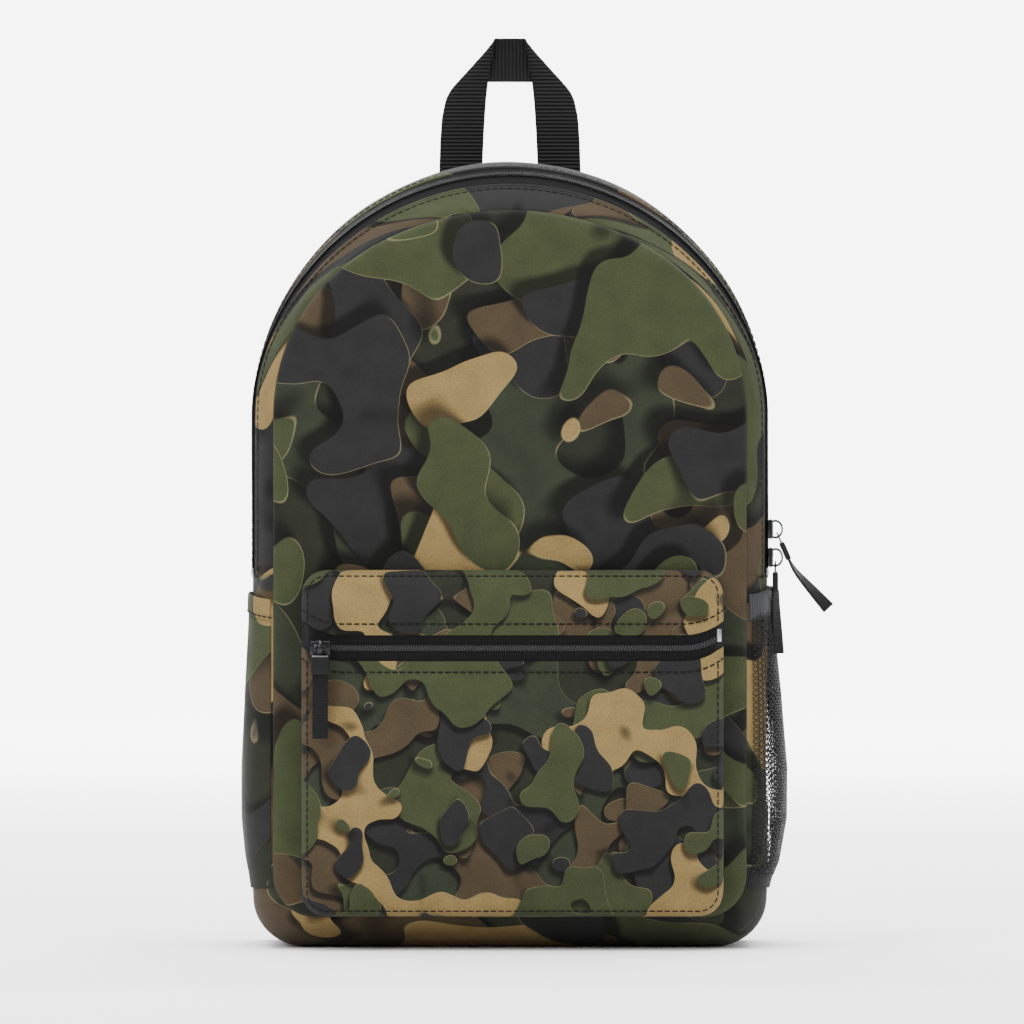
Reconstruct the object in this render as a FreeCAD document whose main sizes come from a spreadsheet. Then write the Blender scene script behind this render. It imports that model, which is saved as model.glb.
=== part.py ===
"""Daypack with a zipped clamshell front, front pocket, side pockets and shoulder straps.

Millimetres. +Z is up, the front faces -Y and the wearer's back is at +Y. The origin is the middle
of the flat underside. Every size is a cell of the sheet "Dims", and the expressions below it say
what is worked out from those cells.
"""
import math
import os

import FreeCAD
import Part
import Sketcher
from FreeCAD import Placement, Rotation, Vector

doc = FreeCAD.newDocument("daypack")
XYZ = ("x", "y", "z")

# ---------------------------------------------------------------- driving dimensions

SIZES = (
    ("body_height", 461, "ground to the crown of the arch"),
    ("body_half_width", 151, "half the widest part of the body"),
    ("body_depth", 140, "front panel to back panel"),
    ("base_corner", 30, "radius of the lower corners"),
    ("crown_share", 0.987, "arch's rise over the body's half width"),
    ("shoulder_share", 0.73, "arch's shoulder radius over the body's half width"),
    ("panel_inset", 13, "front panel seam inside the half width"),
    ("panel_drop", 30, "front panel seam below the crown"),
    ("panel_crown_share", 0.862, "front panel's rise over its half width"),
    ("panel_shoulder_share", 0.81, "front panel's shoulder radius over its half width"),
    ("panel_base", 19, "front panel seam above the ground"),
    ("panel_corner", 24, "radius of the front panel's lower corners"),
    ("zip_inset", 1, "zip line inside the half width"),
    ("zip_top_drop", 9, "zip line below the crown"),
    ("zip_base", 4, "underside at the zip line above the ground"),
    ("zip_behind_front", 24, "zip line behind the front panel"),
    ("full_behind_front", 45, "where the body reaches its full width, behind the front panel"),
    ("fabric_wall", 2.5, "padded fabric"),
    ("fillet_edge", 1.6, "rounding of the panels' outer edges"),
    ("tape_width", 14, "zip tape across both halves"),
    ("teeth_width", 2.9, "coil teeth across both halves"),
    ("teeth_height", 1.2, "coil teeth above the tape"),
    ("run_gap", 0.3, "clearance between pieces that move past each other"),
    ("zip_drop", 94, "lower ends of the main zip below the straight sides' end"),
    ("fold_drop", 47, "fold of the front flap below the straight sides' end"),
    ("stop_length", 4, "metal end stop of a zip"),
    ("base_split", 35, "seam between the base and the side panels"),
    ("pocket_margin", 15.5, "front pocket inside the front panel's seam"),
    ("pocket_offset", 1.5, "front pocket's middle to the right of the body's middle"),
    ("pocket_rise", 3, "front pocket's top above the main zip's ends"),
    ("pocket_base", 20, "front pocket's bottom above the ground"),
    ("pocket_depth", 22, "front pocket proud of the front panel"),
    ("pocket_corner", 14, "radius of the front pocket's corners"),
    ("pocket_edge", 9, "rounding of the front pocket's front edge"),
    ("pocket_zip_drop", 45, "front pocket's zip below its top"),
    ("pocket_tape", 15, "front pocket's zip tape"),
    ("side_pocket_drop", 10, "side pockets' tops below the main zip's ends"),
    ("side_pocket_front", 31, "side pockets' front edge behind the front panel"),
    ("side_pocket_rear", 9, "side pockets' rear edge in front of the back panel"),
    ("slip_bulge", 7.5, "closed side pocket proud of the body"),
    ("mesh_bulge", 12, "mesh side pocket proud of the body"),
    ("pocket_wall", 1.5, "single layer of pocket fabric or mesh"),
    ("hem_height", 12, "top hem of a side pocket"),
    ("slider_length", 12, "zip slider along the zip"),
    ("slider_width", 9, "zip slider across the zip"),
    ("slider_plate", 2.6, "zip slider's top plate"),
    ("bail_radius", 4, "bail ring on a slider, to the middle of its wire"),
    ("bail_wire", 0.6, "radius of the bail's wire"),
    ("bail_stand", 1.2, "bail ring's middle above the slider"),
    ("link_radius", 3.5, "wire link of a pull, to the middle of its wire"),
    ("link_wire", 0.5, "radius of the link's wire"),
    ("crimp_width", 11, "crimp of a pull"),
    ("crimp_length", 11, "crimp of a pull"),
    ("crimp_thickness", 3.4, "crimp of a pull"),
    ("crimp_bite", 1, "link's ring inside its crimp"),
    ("ribbon_width", 9, "ribbon of a pull"),
    ("ribbon_length", 38, "ribbon of a pull"),
    ("ribbon_thickness", 1.4, "ribbon of a pull"),
    ("upper_slider_above", 27, "upper slider above the main zip's ends"),
    ("lower_slider_above", 10.5, "lower slider above the main zip's ends"),
    ("pocket_slider_inset", 11, "front pocket's slider from the pocket's left side, zip closed"),
    ("upper_pull_tilt", 24, "degrees that the upper pull stands out"),
    ("upper_ribbon_lean", 18, "degrees that its ribbon leans out further"),
    ("handle_rise", 76, "carry handle above the crown"),
    ("handle_half_width", 42.5, "carry handle at its feet"),
    ("handle_top_half_width", 12, "flat top of the carry handle"),
    ("handle_fold_drop", 30, "carry handle's corner folds below its top"),
    ("webbing_width", 25, "handle webbing"),
    ("webbing_thickness", 2.6, "handle webbing, two layers"),
    ("handle_behind", 64, "carry handle behind the body's middle"),
    ("foot_gap", 0.4, "carry handle's feet above the crown"),
    ("binding_width", 7, "bound seam round the back panel"),
    ("binding_height", 2.5, "bound seam proud of the back panel"),
    ("back_pad_height", 7, "back pads proud of the back panel"),
    ("back_pad_inner", 14, "gap from the middle to a back pad"),
    ("back_pad_margin", 39, "outer edge of a back pad inside the half width"),
    ("back_pad_low", 140, "lower edge of the long back pads"),
    ("back_pad_gap", 3, "upper edge of the long back pads below the yoke"),
    ("lumbar_low", 60, "lower edge of the lumbar pad"),
    ("lumbar_high", 130, "upper edge of the lumbar pad"),
    ("lumbar_margin", 59, "ends of the lumbar pad inside the half width"),
    ("pad_edge", 5, "rounding of the back pads"),
    ("yoke_margin", 69, "ends of the strap yoke inside the half width"),
    ("yoke_low_drop", 66, "strap yoke's lower edge below the crown"),
    ("yoke_high_drop", 38, "strap yoke's upper edge below the crown"),
    ("yoke_thickness", 4, "strap yoke"),
    ("strap_margin", 4, "shoulder strap inside the yoke's end"),
    ("strap_width", 60, "shoulder strap at the yoke"),
    ("strap_low_width", 46, "shoulder strap's lower end"),
    ("strap_spread", 30, "shoulder strap's lower end outside its upper end"),
    ("strap_top_drop", 40, "shoulder strap's upper end below the crown"),
    ("strap_chord", 220, "shoulder strap's bow from end to end"),
    ("strap_cut", 7, "shoulder strap's lower end short of its full bow"),
    ("strap_bow", 30, "shoulder strap's bow away from the back"),
    ("strap_thickness", 12, "shoulder strap's padding"),
    ("lock_width", 36, "ladder lock"),
    ("lock_height", 28, "ladder lock"),
    ("lock_thickness", 4.5, "ladder lock"),
    ("lock_bar", 4, "bars of a ladder lock"),
    ("strap_webbing", 25, "adjuster webbing's width"),
    ("strap_webbing_thickness", 1.6, "adjuster webbing"),
    ("anchor_margin", 35, "webbing anchor's inner edge inside the half width"),
    ("anchor_low", 40, "webbing anchor's lower corner"),
    ("anchor_high", 84, "webbing anchor's upper corner"),
    ("anchor_high_drop", 14.5, "webbing anchor's inner edge below its upper corner"),
    ("anchor_low_rise", 7.5, "webbing anchor's inner edge above its lower corner"),
    ("anchor_thickness", 2.4, "webbing anchor"),
    ("sleeve_margin", 3, "laptop sleeve's divider inside the flat of the base"),
    ("sleeve_above", 18, "laptop sleeve's divider above the end of the straight sides"),
    ("sleeve_gap", 10, "room for a laptop between the divider and the back panel"),
    ("sleeve_thickness", 3, "laptop sleeve's divider"),
)

sheet = doc.addObject("Spreadsheet::Sheet", "Dims")
for row, (alias, size, meaning) in enumerate(SIZES, start=1):
    sheet.set(f"A{row}", alias)
    sheet.set(f"B{row}", str(size))
    sheet.set(f"C{row}", meaning)
    sheet.setAlias(f"B{row}", alias)
doc.recompute()

# ---------------------------------------------------------------- places worked out from the sizes

D = "Dims."
FRONT = f"(-{D}body_depth / 2)"
REAR = f"({D}body_depth / 2)"
PANEL_BACK = f"({FRONT} + {D}fabric_wall)"
BACK_INNER = f"({REAR} - {D}fabric_wall)"
CROWN_RISE = f"({D}body_half_width * {D}crown_share)"
SHOULDER = f"({D}body_half_width * {D}shoulder_share)"
PANEL_HALF = f"({D}body_half_width - {D}panel_inset)"
PANEL_RISE = f"({PANEL_HALF} * {D}panel_crown_share)"
PANEL_SHOULDER = f"({PANEL_HALF} * {D}panel_shoulder_share)"
SIDES_END = f"({D}body_height - {CROWN_RISE})"
ZIP_Y = f"({FRONT} + {D}zip_behind_front)"
FULL_Y = f"({FRONT} + {D}full_behind_front)"
ZIP_HALF = f"({D}body_half_width - {D}zip_inset)"
ZIP_END = f"({SIDES_END} - {D}zip_drop)"
FOLD = f"({SIDES_END} - {D}fold_drop)"
PANEL_TOP = f"({D}body_height - {D}panel_drop)"
POCKET_TOP = f"({ZIP_END} + {D}pocket_rise)"
POCKET_BACK = FRONT
POCKET_FACE = f"({FRONT} - {D}pocket_depth)"
POCKET_ZIP = f"({POCKET_TOP} - {D}pocket_zip_drop)"
SIDE_POCKET_TOP = f"({ZIP_END} - {D}side_pocket_drop)"
SIDE_POCKET_FRONT = f"({FRONT} + {D}side_pocket_front)"
SIDE_POCKET_REAR = f"({REAR} - {D}side_pocket_rear)"
FAR = f"({D}body_half_width * 2)"
YOKE_FACE = f"({REAR} + {D}yoke_thickness)"
STRAP_TOP = f"({D}body_height - {D}strap_top_drop)"
STRAP_MIDDLE = f"({STRAP_TOP} - {D}strap_chord / 2)"
STRAP_LOW = f"({STRAP_TOP} - {D}strap_chord + {D}strap_cut)"
STRAP_RADIUS = f"(({D}strap_chord ^ 2 / 4 + {D}strap_bow ^ 2) / (2 * {D}strap_bow))"
STRAP_CENTRE = f"({YOKE_FACE} + {D}run_gap + {D}strap_bow - {STRAP_RADIUS})"
YOKE_HALF = f"({D}body_half_width - {D}yoke_margin)"
YOKE_LOW = f"({D}body_height - {D}yoke_low_drop)"
YOKE_HIGH = f"({D}body_height - {D}yoke_high_drop)"
STRAP_OUTER = f"({YOKE_HALF} - {D}strap_margin)"
STRAP_INNER = f"({STRAP_OUTER} - {D}strap_width)"
STRAP_LOW_OUTER = f"({STRAP_OUTER} + {D}strap_spread)"
STRAP_LOW_INNER = f"({STRAP_LOW_OUTER} - {D}strap_low_width)"
ANCHOR_INNER = f"({D}body_half_width - {D}anchor_margin)"
SLIDER_SEAT = f"({D}teeth_height + {D}run_gap)"
BAIL_MIDDLE = f"({SLIDER_SEAT} + {D}slider_plate + {D}bail_stand)"


def number(expression):
    """The value of an expression, for the few places that a formula has to be worked out in code."""
    return float(sheet.evalExpression(expression))


# ---------------------------------------------------------------- helpers

def box(name, low, high):
    """A box between two corners, each three expressions."""
    piece = doc.addObject("Part::Box", name)
    for side, axis, start, end in zip(("Length", "Width", "Height"), XYZ, low, high):
        piece.setExpression(side, f"({end}) - ({start})")
        piece.setExpression(f"Placement.Base.{axis}", start)
    return piece


def place(piece, position):
    """Bind a piece's position to three expressions."""
    for axis, value in zip(XYZ, position):
        piece.setExpression(f"Placement.Base.{axis}", value)
    return piece


def cut(name, base, tool):
    piece = doc.addObject("Part::Cut", name)
    piece.Base = base
    piece.Tool = tool
    return piece


def common(name, base, tool):
    piece = doc.addObject("Part::Common", name)
    piece.Base = base
    piece.Tool = tool
    return piece


def fuse(name, *pieces):
    piece = doc.addObject("Part::MultiFuse", name)
    piece.Shapes = list(pieces)
    return piece


def carried(name, source):
    """A compound that holds one shape, so that the shape can be placed again."""
    piece = doc.addObject("Part::Compound", name)
    piece.Links = [source]
    return piece


def new_body(name):
    return doc.addObject("PartDesign::Body", name)


def new_sketch(body, name, plane, offset="0"):
    """A sketch on one of the body's own origin planes, moved along that plane's normal."""
    planes = [feature for feature in body.Origin.OriginFeatures if feature.Role == plane]
    sketch = body.newObject("Sketcher::SketchObject", name)
    sketch.AttachmentSupport = [(planes[0], "")]
    sketch.MapMode = "FlatFace"
    sketch.setExpression("AttachmentOffset.Base.z", offset)
    return sketch


def pad(body, sketch, length, name="Pad"):
    feature = body.newObject("PartDesign::Pad", name)
    feature.Profile = sketch
    feature.setExpression("Length", length)
    return feature


def pocket(body, sketch, length, name="Pocket"):
    feature = body.newObject("PartDesign::Pocket", name)
    feature.Profile = sketch
    feature.setExpression("Length", length)
    return feature


def constrain(sketch, kind, *where, value=None):
    """Add a constraint, with a value or an expression where it has one."""
    if value is None:
        return sketch.addConstraint(Sketcher.Constraint(kind, *where))
    index = sketch.addConstraint(Sketcher.Constraint(kind, *where, number(value)))
    sketch.setExpression(f"Constraints[{index}]", value)
    return index


def outline(body, name, plane, offset, points):
    """A closed outline of straight lines through points given as pairs of expressions."""
    sketch = new_sketch(body, name, plane, offset)
    corners = [Vector(number(across), number(up), 0) for across, up in points]
    for index, start in enumerate(corners):
        end = corners[(index + 1) % len(corners)]
        sketch.addGeometry(Part.LineSegment(start, end), False)
    for index, (across, up) in enumerate(points):
        constrain(sketch, "Coincident", index, 2, (index + 1) % len(points), 1)
        # Point 1 of geometry -1 is the sketch's origin.
        constrain(sketch, "DistanceX", -1, 1, index, 1, value=across)
        constrain(sketch, "DistanceY", -1, 1, index, 1, value=up)
    return sketch


def arch(body, name, y, half_width, top, base, corner, shoulder, rise):
    """A closed arch outline across the body: flat base, rounded corners, three-centre crown."""
    sketch = new_sketch(body, name, "XZ_Plane", f"-({y})")
    crown = (f"((({half_width}) - ({shoulder})) ^ 2 + ({rise}) ^ 2 - ({shoulder}) ^ 2)"
             f" / (2 * (({rise}) - ({shoulder})))")
    spring = f"({top}) - ({rise})"
    side, high, low = number(half_width), number(top), number(base)
    bend, turn, wide = number(corner), number(shoulder), number(crown)
    start = number(spring)
    # The angle at which the shoulder's arc meets the crown's.
    meet = math.atan2(start - (high - wide), side - turn)
    up = Vector(0, 0, 1)

    def arc(across, height, radius, first, last):
        return Part.ArcOfCircle(Part.Circle(Vector(across, height, 0), up, radius), first, last)

    order = (
        Part.LineSegment(Vector(bend - side, low, 0), Vector(side - bend, low, 0)),
        arc(side - bend, low + bend, bend, -math.pi / 2, 0),
        Part.LineSegment(Vector(side, low + bend, 0), Vector(side, start, 0)),
        arc(side - turn, start, turn, 0, meet),
        arc(0, high - wide, wide, meet, math.pi - meet),
        arc(turn - side, start, turn, math.pi - meet, math.pi),
        Part.LineSegment(Vector(-side, start, 0), Vector(-side, low + bend, 0)),
        arc(bend - side, low + bend, bend, math.pi, 3 * math.pi / 2),
    )
    for edge in order:
        sketch.addGeometry(edge, False)
    for index in range(len(order)):
        constrain(sketch, "Tangent", index, 2, (index + 1) % len(order), 1)
    constrain(sketch, "Horizontal", 0)
    constrain(sketch, "Vertical", 2)
    constrain(sketch, "Vertical", 6)
    constrain(sketch, "DistanceY", -1, 1, 0, 1, value=base)
    constrain(sketch, "DistanceX", -1, 1, 2, 1, value=half_width)
    constrain(sketch, "DistanceX", 6, 1, -1, 1, value=half_width)
    constrain(sketch, "DistanceY", -1, 1, 2, 2, value=spring)
    constrain(sketch, "DistanceY", -1, 1, 6, 1, value=spring)
    for index, radius in ((1, corner), (3, shoulder), (4, crown), (5, shoulder), (7, corner)):
        constrain(sketch, "Radius", index, value=radius)
    return sketch


def front_arch(body, name, y, inset="0"):
    """The front panel's outline, taken in by inset all round."""
    return arch(body, name, y, f"{PANEL_HALF} - {inset}",
                f"{D}body_height - {D}panel_drop - {inset}", f"{D}panel_base + {inset}",
                f"{D}panel_corner - {inset}", f"{PANEL_SHOULDER} - {inset}", f"{PANEL_RISE} - {inset}")


def zip_arch(body, name, y, inset="0"):
    """The body's outline at the zip line."""
    return arch(body, name, y, f"{D}body_half_width - {D}zip_inset - {inset}",
                f"{D}body_height - {D}zip_top_drop - {inset}", f"{D}zip_base + {inset}",
                f"{D}base_corner - {inset}", f"{SHOULDER} - {inset}",
                f"{CROWN_RISE} - {D}zip_top_drop - {inset}")


def full_arch(body, name, y, inset="0"):
    """The body's outline where it has its full width."""
    return arch(body, name, y, f"{D}body_half_width - {inset}", f"{D}body_height - {inset}", f"{inset}",
                f"{D}base_corner - {inset}", f"{SHOULDER} - {inset}", f"{CROWN_RISE} - {inset}")


def form(name, inset):
    """The body's solid form between its front and back panels, taken in by inset all round."""
    body = new_body(name)
    sections = [front_arch(body, name + "_front", PANEL_BACK, inset),
                zip_arch(body, name + "_zip", ZIP_Y, inset),
                full_arch(body, name + "_full", FULL_Y, inset),
                full_arch(body, name + "_rear", BACK_INNER, inset)]
    doc.recompute()
    loft = body.newObject("PartDesign::AdditiveLoft", name + "_loft")
    loft.Profile = sections[0]
    loft.Sections = sections[1:]
    loft.Ruled = True
    doc.recompute()
    return body


def round_edges(body, feature, name, radius, chosen):
    """Fillet the edges of a feature that a test picks."""
    doc.recompute()
    names = [f"Edge{index}" for index, edge in enumerate(feature.Shape.Edges, start=1) if chosen(edge)]
    fillet = body.newObject("PartDesign::Fillet", name)
    fillet.Base = (feature, names)
    fillet.setExpression("Radius", radius)
    body.Tip = fillet
    doc.recompute()
    return fillet


def lies_at(axis, value):
    """A test for edges that lie in the plane where an axis has a value."""
    def test(edge):
        box_of_edge = edge.BoundBox
        low = getattr(box_of_edge, axis + "Min")
        high = getattr(box_of_edge, axis + "Max")
        return abs(low - value) < 0.01 and abs(high - value) < 0.01
    return test


def finished(piece, label):
    """Name a sub-part: its label is the name of its node."""
    piece.Label = label
    kept.append(piece)
    return piece


kept = []

# ---------------------------------------------------------------- body shell

outer = form("outer_form", "0")
inner = form("inner_form", f"{D}fabric_wall")
proud = form("proud_form", f"(-{D}teeth_height)")
shell = cut("shell", outer, inner)
teeth_shell = cut("teeth_shell", proud, inner)

LEFT = f"(-{FAR})"
RIGHT = FAR
TOP = f"({D}body_height * 2)"
TAPE_FRONT = f"({ZIP_Y} - {D}tape_width / 2)"
TAPE_REAR = f"({ZIP_Y} + {D}tape_width / 2)"
TEETH_FRONT = f"({ZIP_Y} - {D}teeth_width / 2)"
TEETH_REAR = f"({ZIP_Y} + {D}teeth_width / 2)"
HALF_GAP = f"({D}run_gap / 2)"
FOLD_ABOVE = f"({FOLD} + {HALF_GAP})"
FOLD_BELOW = f"({FOLD} - {HALF_GAP})"
UNDER = f"(-{D}body_depth)"


def slab(name, y_low, y_high, z_low, z_high, x_low=LEFT, x_high=RIGHT):
    return box(name, (x_low, y_low, z_low), (x_high, y_high, z_high))


def strip_of(label, source, *slabs):
    """The part of a shell inside one slab or several."""
    tool = slabs[0] if len(slabs) == 1 else fuse(label + "_slabs", *slabs)
    return finished(common(label + "_part", source, tool), label)


strip_of("base_panel", shell, slab("base_slab", PANEL_BACK, BACK_INNER, UNDER, f"{D}base_split"))
for side, x_low, x_high in (("left", LEFT, "0"), ("right", "0", RIGHT)):
    strip_of(f"side_panel_{side}", shell,
             slab(f"{side}_side", PANEL_BACK, BACK_INNER, f"{D}base_split", ZIP_END, x_low, x_high),
             slab(f"{side}_strip", PANEL_BACK, TAPE_FRONT, ZIP_END, FOLD_BELOW, x_low, x_high))
strip_of("rear_gusset", shell, slab("rear_slab", TAPE_REAR, BACK_INNER, ZIP_END, TOP))
strip_of("front_gusset", shell, slab("front_slab", PANEL_BACK, TAPE_FRONT, FOLD_ABOVE, TOP))

STOP_END = f"({ZIP_END} + {D}stop_length)"
strip_of("main_zip_tape_front", shell, slab("tape_front_slab", TAPE_FRONT, TEETH_FRONT, FOLD_ABOVE, TOP))
strip_of("main_zip_teeth_front", teeth_shell,
         slab("teeth_front_slab", TEETH_FRONT, f"{ZIP_Y} - {HALF_GAP}", FOLD_ABOVE, TOP))
strip_of("main_zip_teeth_rear", teeth_shell,
         slab("teeth_rear_slab", f"{ZIP_Y} + {HALF_GAP}", TEETH_REAR, FOLD_BELOW, TOP))
strip_of("main_zip_tape_rear", shell, slab("tape_rear_slab", TEETH_REAR, TAPE_REAR, FOLD_BELOW, TOP))
strip_of("main_zip_tape_ends", shell,
         slab("tape_end_front", TAPE_FRONT, TEETH_FRONT, ZIP_END, FOLD_BELOW),
         slab("tape_end_rear", TEETH_REAR, TAPE_REAR, ZIP_END, FOLD_BELOW))
strip_of("main_zip_teeth_ends", teeth_shell,
         slab("teeth_end_slab", TEETH_FRONT, TEETH_REAR, STOP_END, FOLD_BELOW))
strip_of("main_zip_stops", teeth_shell, slab("stop_slab", TEETH_FRONT, TEETH_REAR, ZIP_END, STOP_END))

# ---------------------------------------------------------------- front and back panels

front_plate = new_body("front_plate")
front_sketch = front_arch(front_plate, "front_outline", PANEL_BACK)
front_pad = pad(front_plate, front_sketch, f"{D}fabric_wall", "front_pad")
round_edges(front_plate, front_pad, "front_round", f"{D}fillet_edge", lies_at("Y", number(FRONT)))
BEYOND = f"({FRONT} - {D}body_depth)"
for label, z_low, z_high in (("front_panel_upper", FOLD_ABOVE, TOP),
                             ("front_panel_lower", UNDER, FOLD_BELOW)):
    finished(common(label + "_part", front_plate, slab(label + "_slab", BEYOND, "0", z_low, z_high)), label)

back_panel = new_body("back_panel")
back_sketch = full_arch(back_panel, "back_outline", BACK_INNER)
back_pad = pad(back_panel, back_sketch, f"{D}fabric_wall", "back_pad")
back_pad.Reversed = True
finished(back_panel, "back_panel")

rear_binding = new_body("rear_binding")
binding_outer = full_arch(rear_binding, "binding_outer", REAR)
binding_pad = pad(rear_binding, binding_outer, f"{D}binding_height", "binding_pad")
binding_pad.Reversed = True
binding_inner = full_arch(rear_binding, "binding_inner", REAR, f"{D}binding_width")
binding_cut = pocket(rear_binding, binding_inner, f"{D}binding_height", "binding_cut")
finished(rear_binding, "rear_binding")

PAD_FACE = f"({REAR} + {D}back_pad_height)"


def back_cushion(label, x_low, x_high, z_low, z_high):
    """A foam pad on the back panel, rounded along its rear edges."""
    body = new_body(label + "_body")
    sketch = outline(body, label + "_outline", "XZ_Plane", f"-({PAD_FACE})",
                     ((x_low, z_low), (x_high, z_low), (x_high, z_high), (x_low, z_high)))
    cushion = pad(body, sketch, f"{D}back_pad_height", label + "_pad")
    round_edges(body, cushion, label + "_round", f"{D}pad_edge", lies_at("Y", number(PAD_FACE)))
    finished(body, label)


BACK_PAD_OUTER = f"({D}body_half_width - {D}back_pad_margin)"
BACK_PAD_HIGH = f"({YOKE_LOW} - {D}back_pad_gap)"
LUMBAR_HALF = f"({D}body_half_width - {D}lumbar_margin)"
PAD_INNER = f"{D}back_pad_inner"
PAD_LOW = f"{D}back_pad_low"
back_cushion("back_pad_left", f"-{BACK_PAD_OUTER}", f"-{PAD_INNER}", PAD_LOW, BACK_PAD_HIGH)
back_cushion("back_pad_right", PAD_INNER, BACK_PAD_OUTER, PAD_LOW, BACK_PAD_HIGH)
back_cushion("back_pad_lumbar", f"-{LUMBAR_HALF}", LUMBAR_HALF, f"{D}lumbar_low", f"{D}lumbar_high")

SLEEVE_REAR = f"({BACK_INNER} - {D}sleeve_gap)"
SLEEVE_HALF = f"({D}body_half_width - {D}base_corner - {D}sleeve_margin)"
finished(box("sleeve", (f"-{SLEEVE_HALF}", f"{SLEEVE_REAR} - {D}sleeve_thickness", f"{D}fabric_wall"),
             (SLEEVE_HALF, SLEEVE_REAR, f"{SIDES_END} + {D}sleeve_above")), "laptop_sleeve")

# ---------------------------------------------------------------- front pocket

POCKET_HALF = f"({PANEL_HALF} - {D}pocket_margin)"
POCKET_LEFT = f"({D}pocket_offset - {POCKET_HALF})"
POCKET_RIGHT = f"({D}pocket_offset + {POCKET_HALF})"
pocket_form = new_body("pocket_form")
pocket_sketch = outline(pocket_form, "pocket_outline", "XZ_Plane", f"-({POCKET_BACK})",
                        ((POCKET_LEFT, f"{D}pocket_base"), (POCKET_RIGHT, f"{D}pocket_base"),
                         (POCKET_RIGHT, POCKET_TOP), (POCKET_LEFT, POCKET_TOP)))
pocket_pad = pad(pocket_form, pocket_sketch, f"{D}pocket_depth", "pocket_pad")


def runs_along_y(edge):
    box_of_edge = edge.BoundBox
    return box_of_edge.YLength > 1 and box_of_edge.XLength < 0.01 and box_of_edge.ZLength < 0.01


pocket_corners = round_edges(pocket_form, pocket_pad, "pocket_corners", f"{D}pocket_corner", runs_along_y)
pocket_front = round_edges(pocket_form, pocket_corners, "pocket_front", f"{D}pocket_edge",
                           lies_at("Y", number(POCKET_FACE)))
back_faces = [f"Face{index}" for index, face in enumerate(pocket_front.Shape.Faces, start=1)
              if lies_at("Y", number(POCKET_BACK))(face)]
hollow = pocket_form.newObject("PartDesign::Thickness", "pocket_hollow")
hollow.Base = (pocket_front, back_faces)
hollow.setExpression("Value", f"{D}fabric_wall")
hollow.Reversed = True
pocket_form.Tip = hollow
doc.recompute()

ZIP_LOW = f"({POCKET_ZIP} - {D}pocket_tape / 2)"
ZIP_HIGH = f"({POCKET_ZIP} + {D}pocket_tape / 2)"
POCKET_SPANS = (("pocket_lower_panel", UNDER, ZIP_LOW), ("pocket_zip_tape", ZIP_LOW, ZIP_HIGH),
                ("pocket_upper_panel", ZIP_HIGH, TOP))
for label, z_low, z_high in POCKET_SPANS:
    finished(common(label + "_part", pocket_form, slab(label + "_slab", BEYOND, "0", z_low, z_high)), label)

TEETH_INSET = f"{D}pocket_edge + {D}stop_length"
POCKET_TEETH_FACE = f"({POCKET_FACE} - {D}teeth_height)"
TEETH_LEFT = f"({POCKET_LEFT} + {D}pocket_edge)"
TEETH_RIGHT = f"({POCKET_RIGHT} - {TEETH_INSET})"
finished(box("pocket_teeth", (TEETH_LEFT, POCKET_TEETH_FACE, f"{POCKET_ZIP} - {D}teeth_width / 2"),
             (TEETH_RIGHT, POCKET_FACE, f"{POCKET_ZIP} + {D}teeth_width / 2")), "pocket_zip_teeth")
finished(box("pocket_stop", (TEETH_RIGHT, POCKET_TEETH_FACE, f"{POCKET_ZIP} - {D}teeth_width"),
             (f"{TEETH_RIGHT} + {D}stop_length", POCKET_FACE, f"{POCKET_ZIP} + {D}teeth_width")),
         "pocket_zip_stop")

# ---------------------------------------------------------------- side pockets


def side_pocket(label, sign, bulge, floor):
    """An open-topped pocket wall on one side of the body, with its rims on the side panel."""
    def across(distance):
        return f"({sign} * ({D}body_half_width + {distance}))"
    faces = [across("0"), across(f"{D}{bulge}")]
    inner_faces = [across(f"-{D}pocket_wall"), across(f"{D}{bulge} - {D}pocket_wall")]
    if sign < 0:
        faces.reverse()
        inner_faces.reverse()
    wall = f"{D}pocket_wall"
    block = box(label + "_block", (faces[0], SIDE_POCKET_FRONT, floor),
                (faces[1], SIDE_POCKET_REAR, SIDE_POCKET_TOP))
    space = box(label + "_space", (inner_faces[0], f"{SIDE_POCKET_FRONT} + {wall}", f"{floor} + {wall}"),
                (inner_faces[1], f"{SIDE_POCKET_REAR} - {wall}", TOP))
    return cut(label + "_wall", block, space)


def hem(name):
    return slab(name, SIDE_POCKET_FRONT, SIDE_POCKET_REAR, f"{SIDE_POCKET_TOP} - {D}hem_height", TOP)


SIDE_BASE = f"({D}base_split + {D}run_gap)"
MESH_TRIM_TOP = f"({SIDE_BASE} + {D}hem_height)"
slip = side_pocket("slip", -1, "slip_bulge", SIDE_BASE)
slip_hem = hem("slip_hem")
finished(cut("slip_panel", slip, slip_hem), "slip_pocket")
finished(common("slip_band", slip, slip_hem), "slip_pocket_hem")

mesh = side_pocket("mesh", 1, "mesh_bulge", SIDE_BASE)
mesh_hem = hem("mesh_hem")
mesh_trim = slab("mesh_trim", SIDE_POCKET_FRONT, SIDE_POCKET_REAR, UNDER, MESH_TRIM_TOP)
finished(cut("mesh_panel", mesh, fuse("mesh_bands", mesh_hem, mesh_trim)), "mesh_pocket")
finished(common("mesh_band", mesh, mesh_hem), "mesh_pocket_elastic")
finished(common("mesh_foot", mesh, mesh_trim), "mesh_pocket_trim")

# ---------------------------------------------------------------- zip sliders and pulls
# A slider is made with its zip along Z, its outside towards +X and the tape's face at X = 0.


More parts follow.
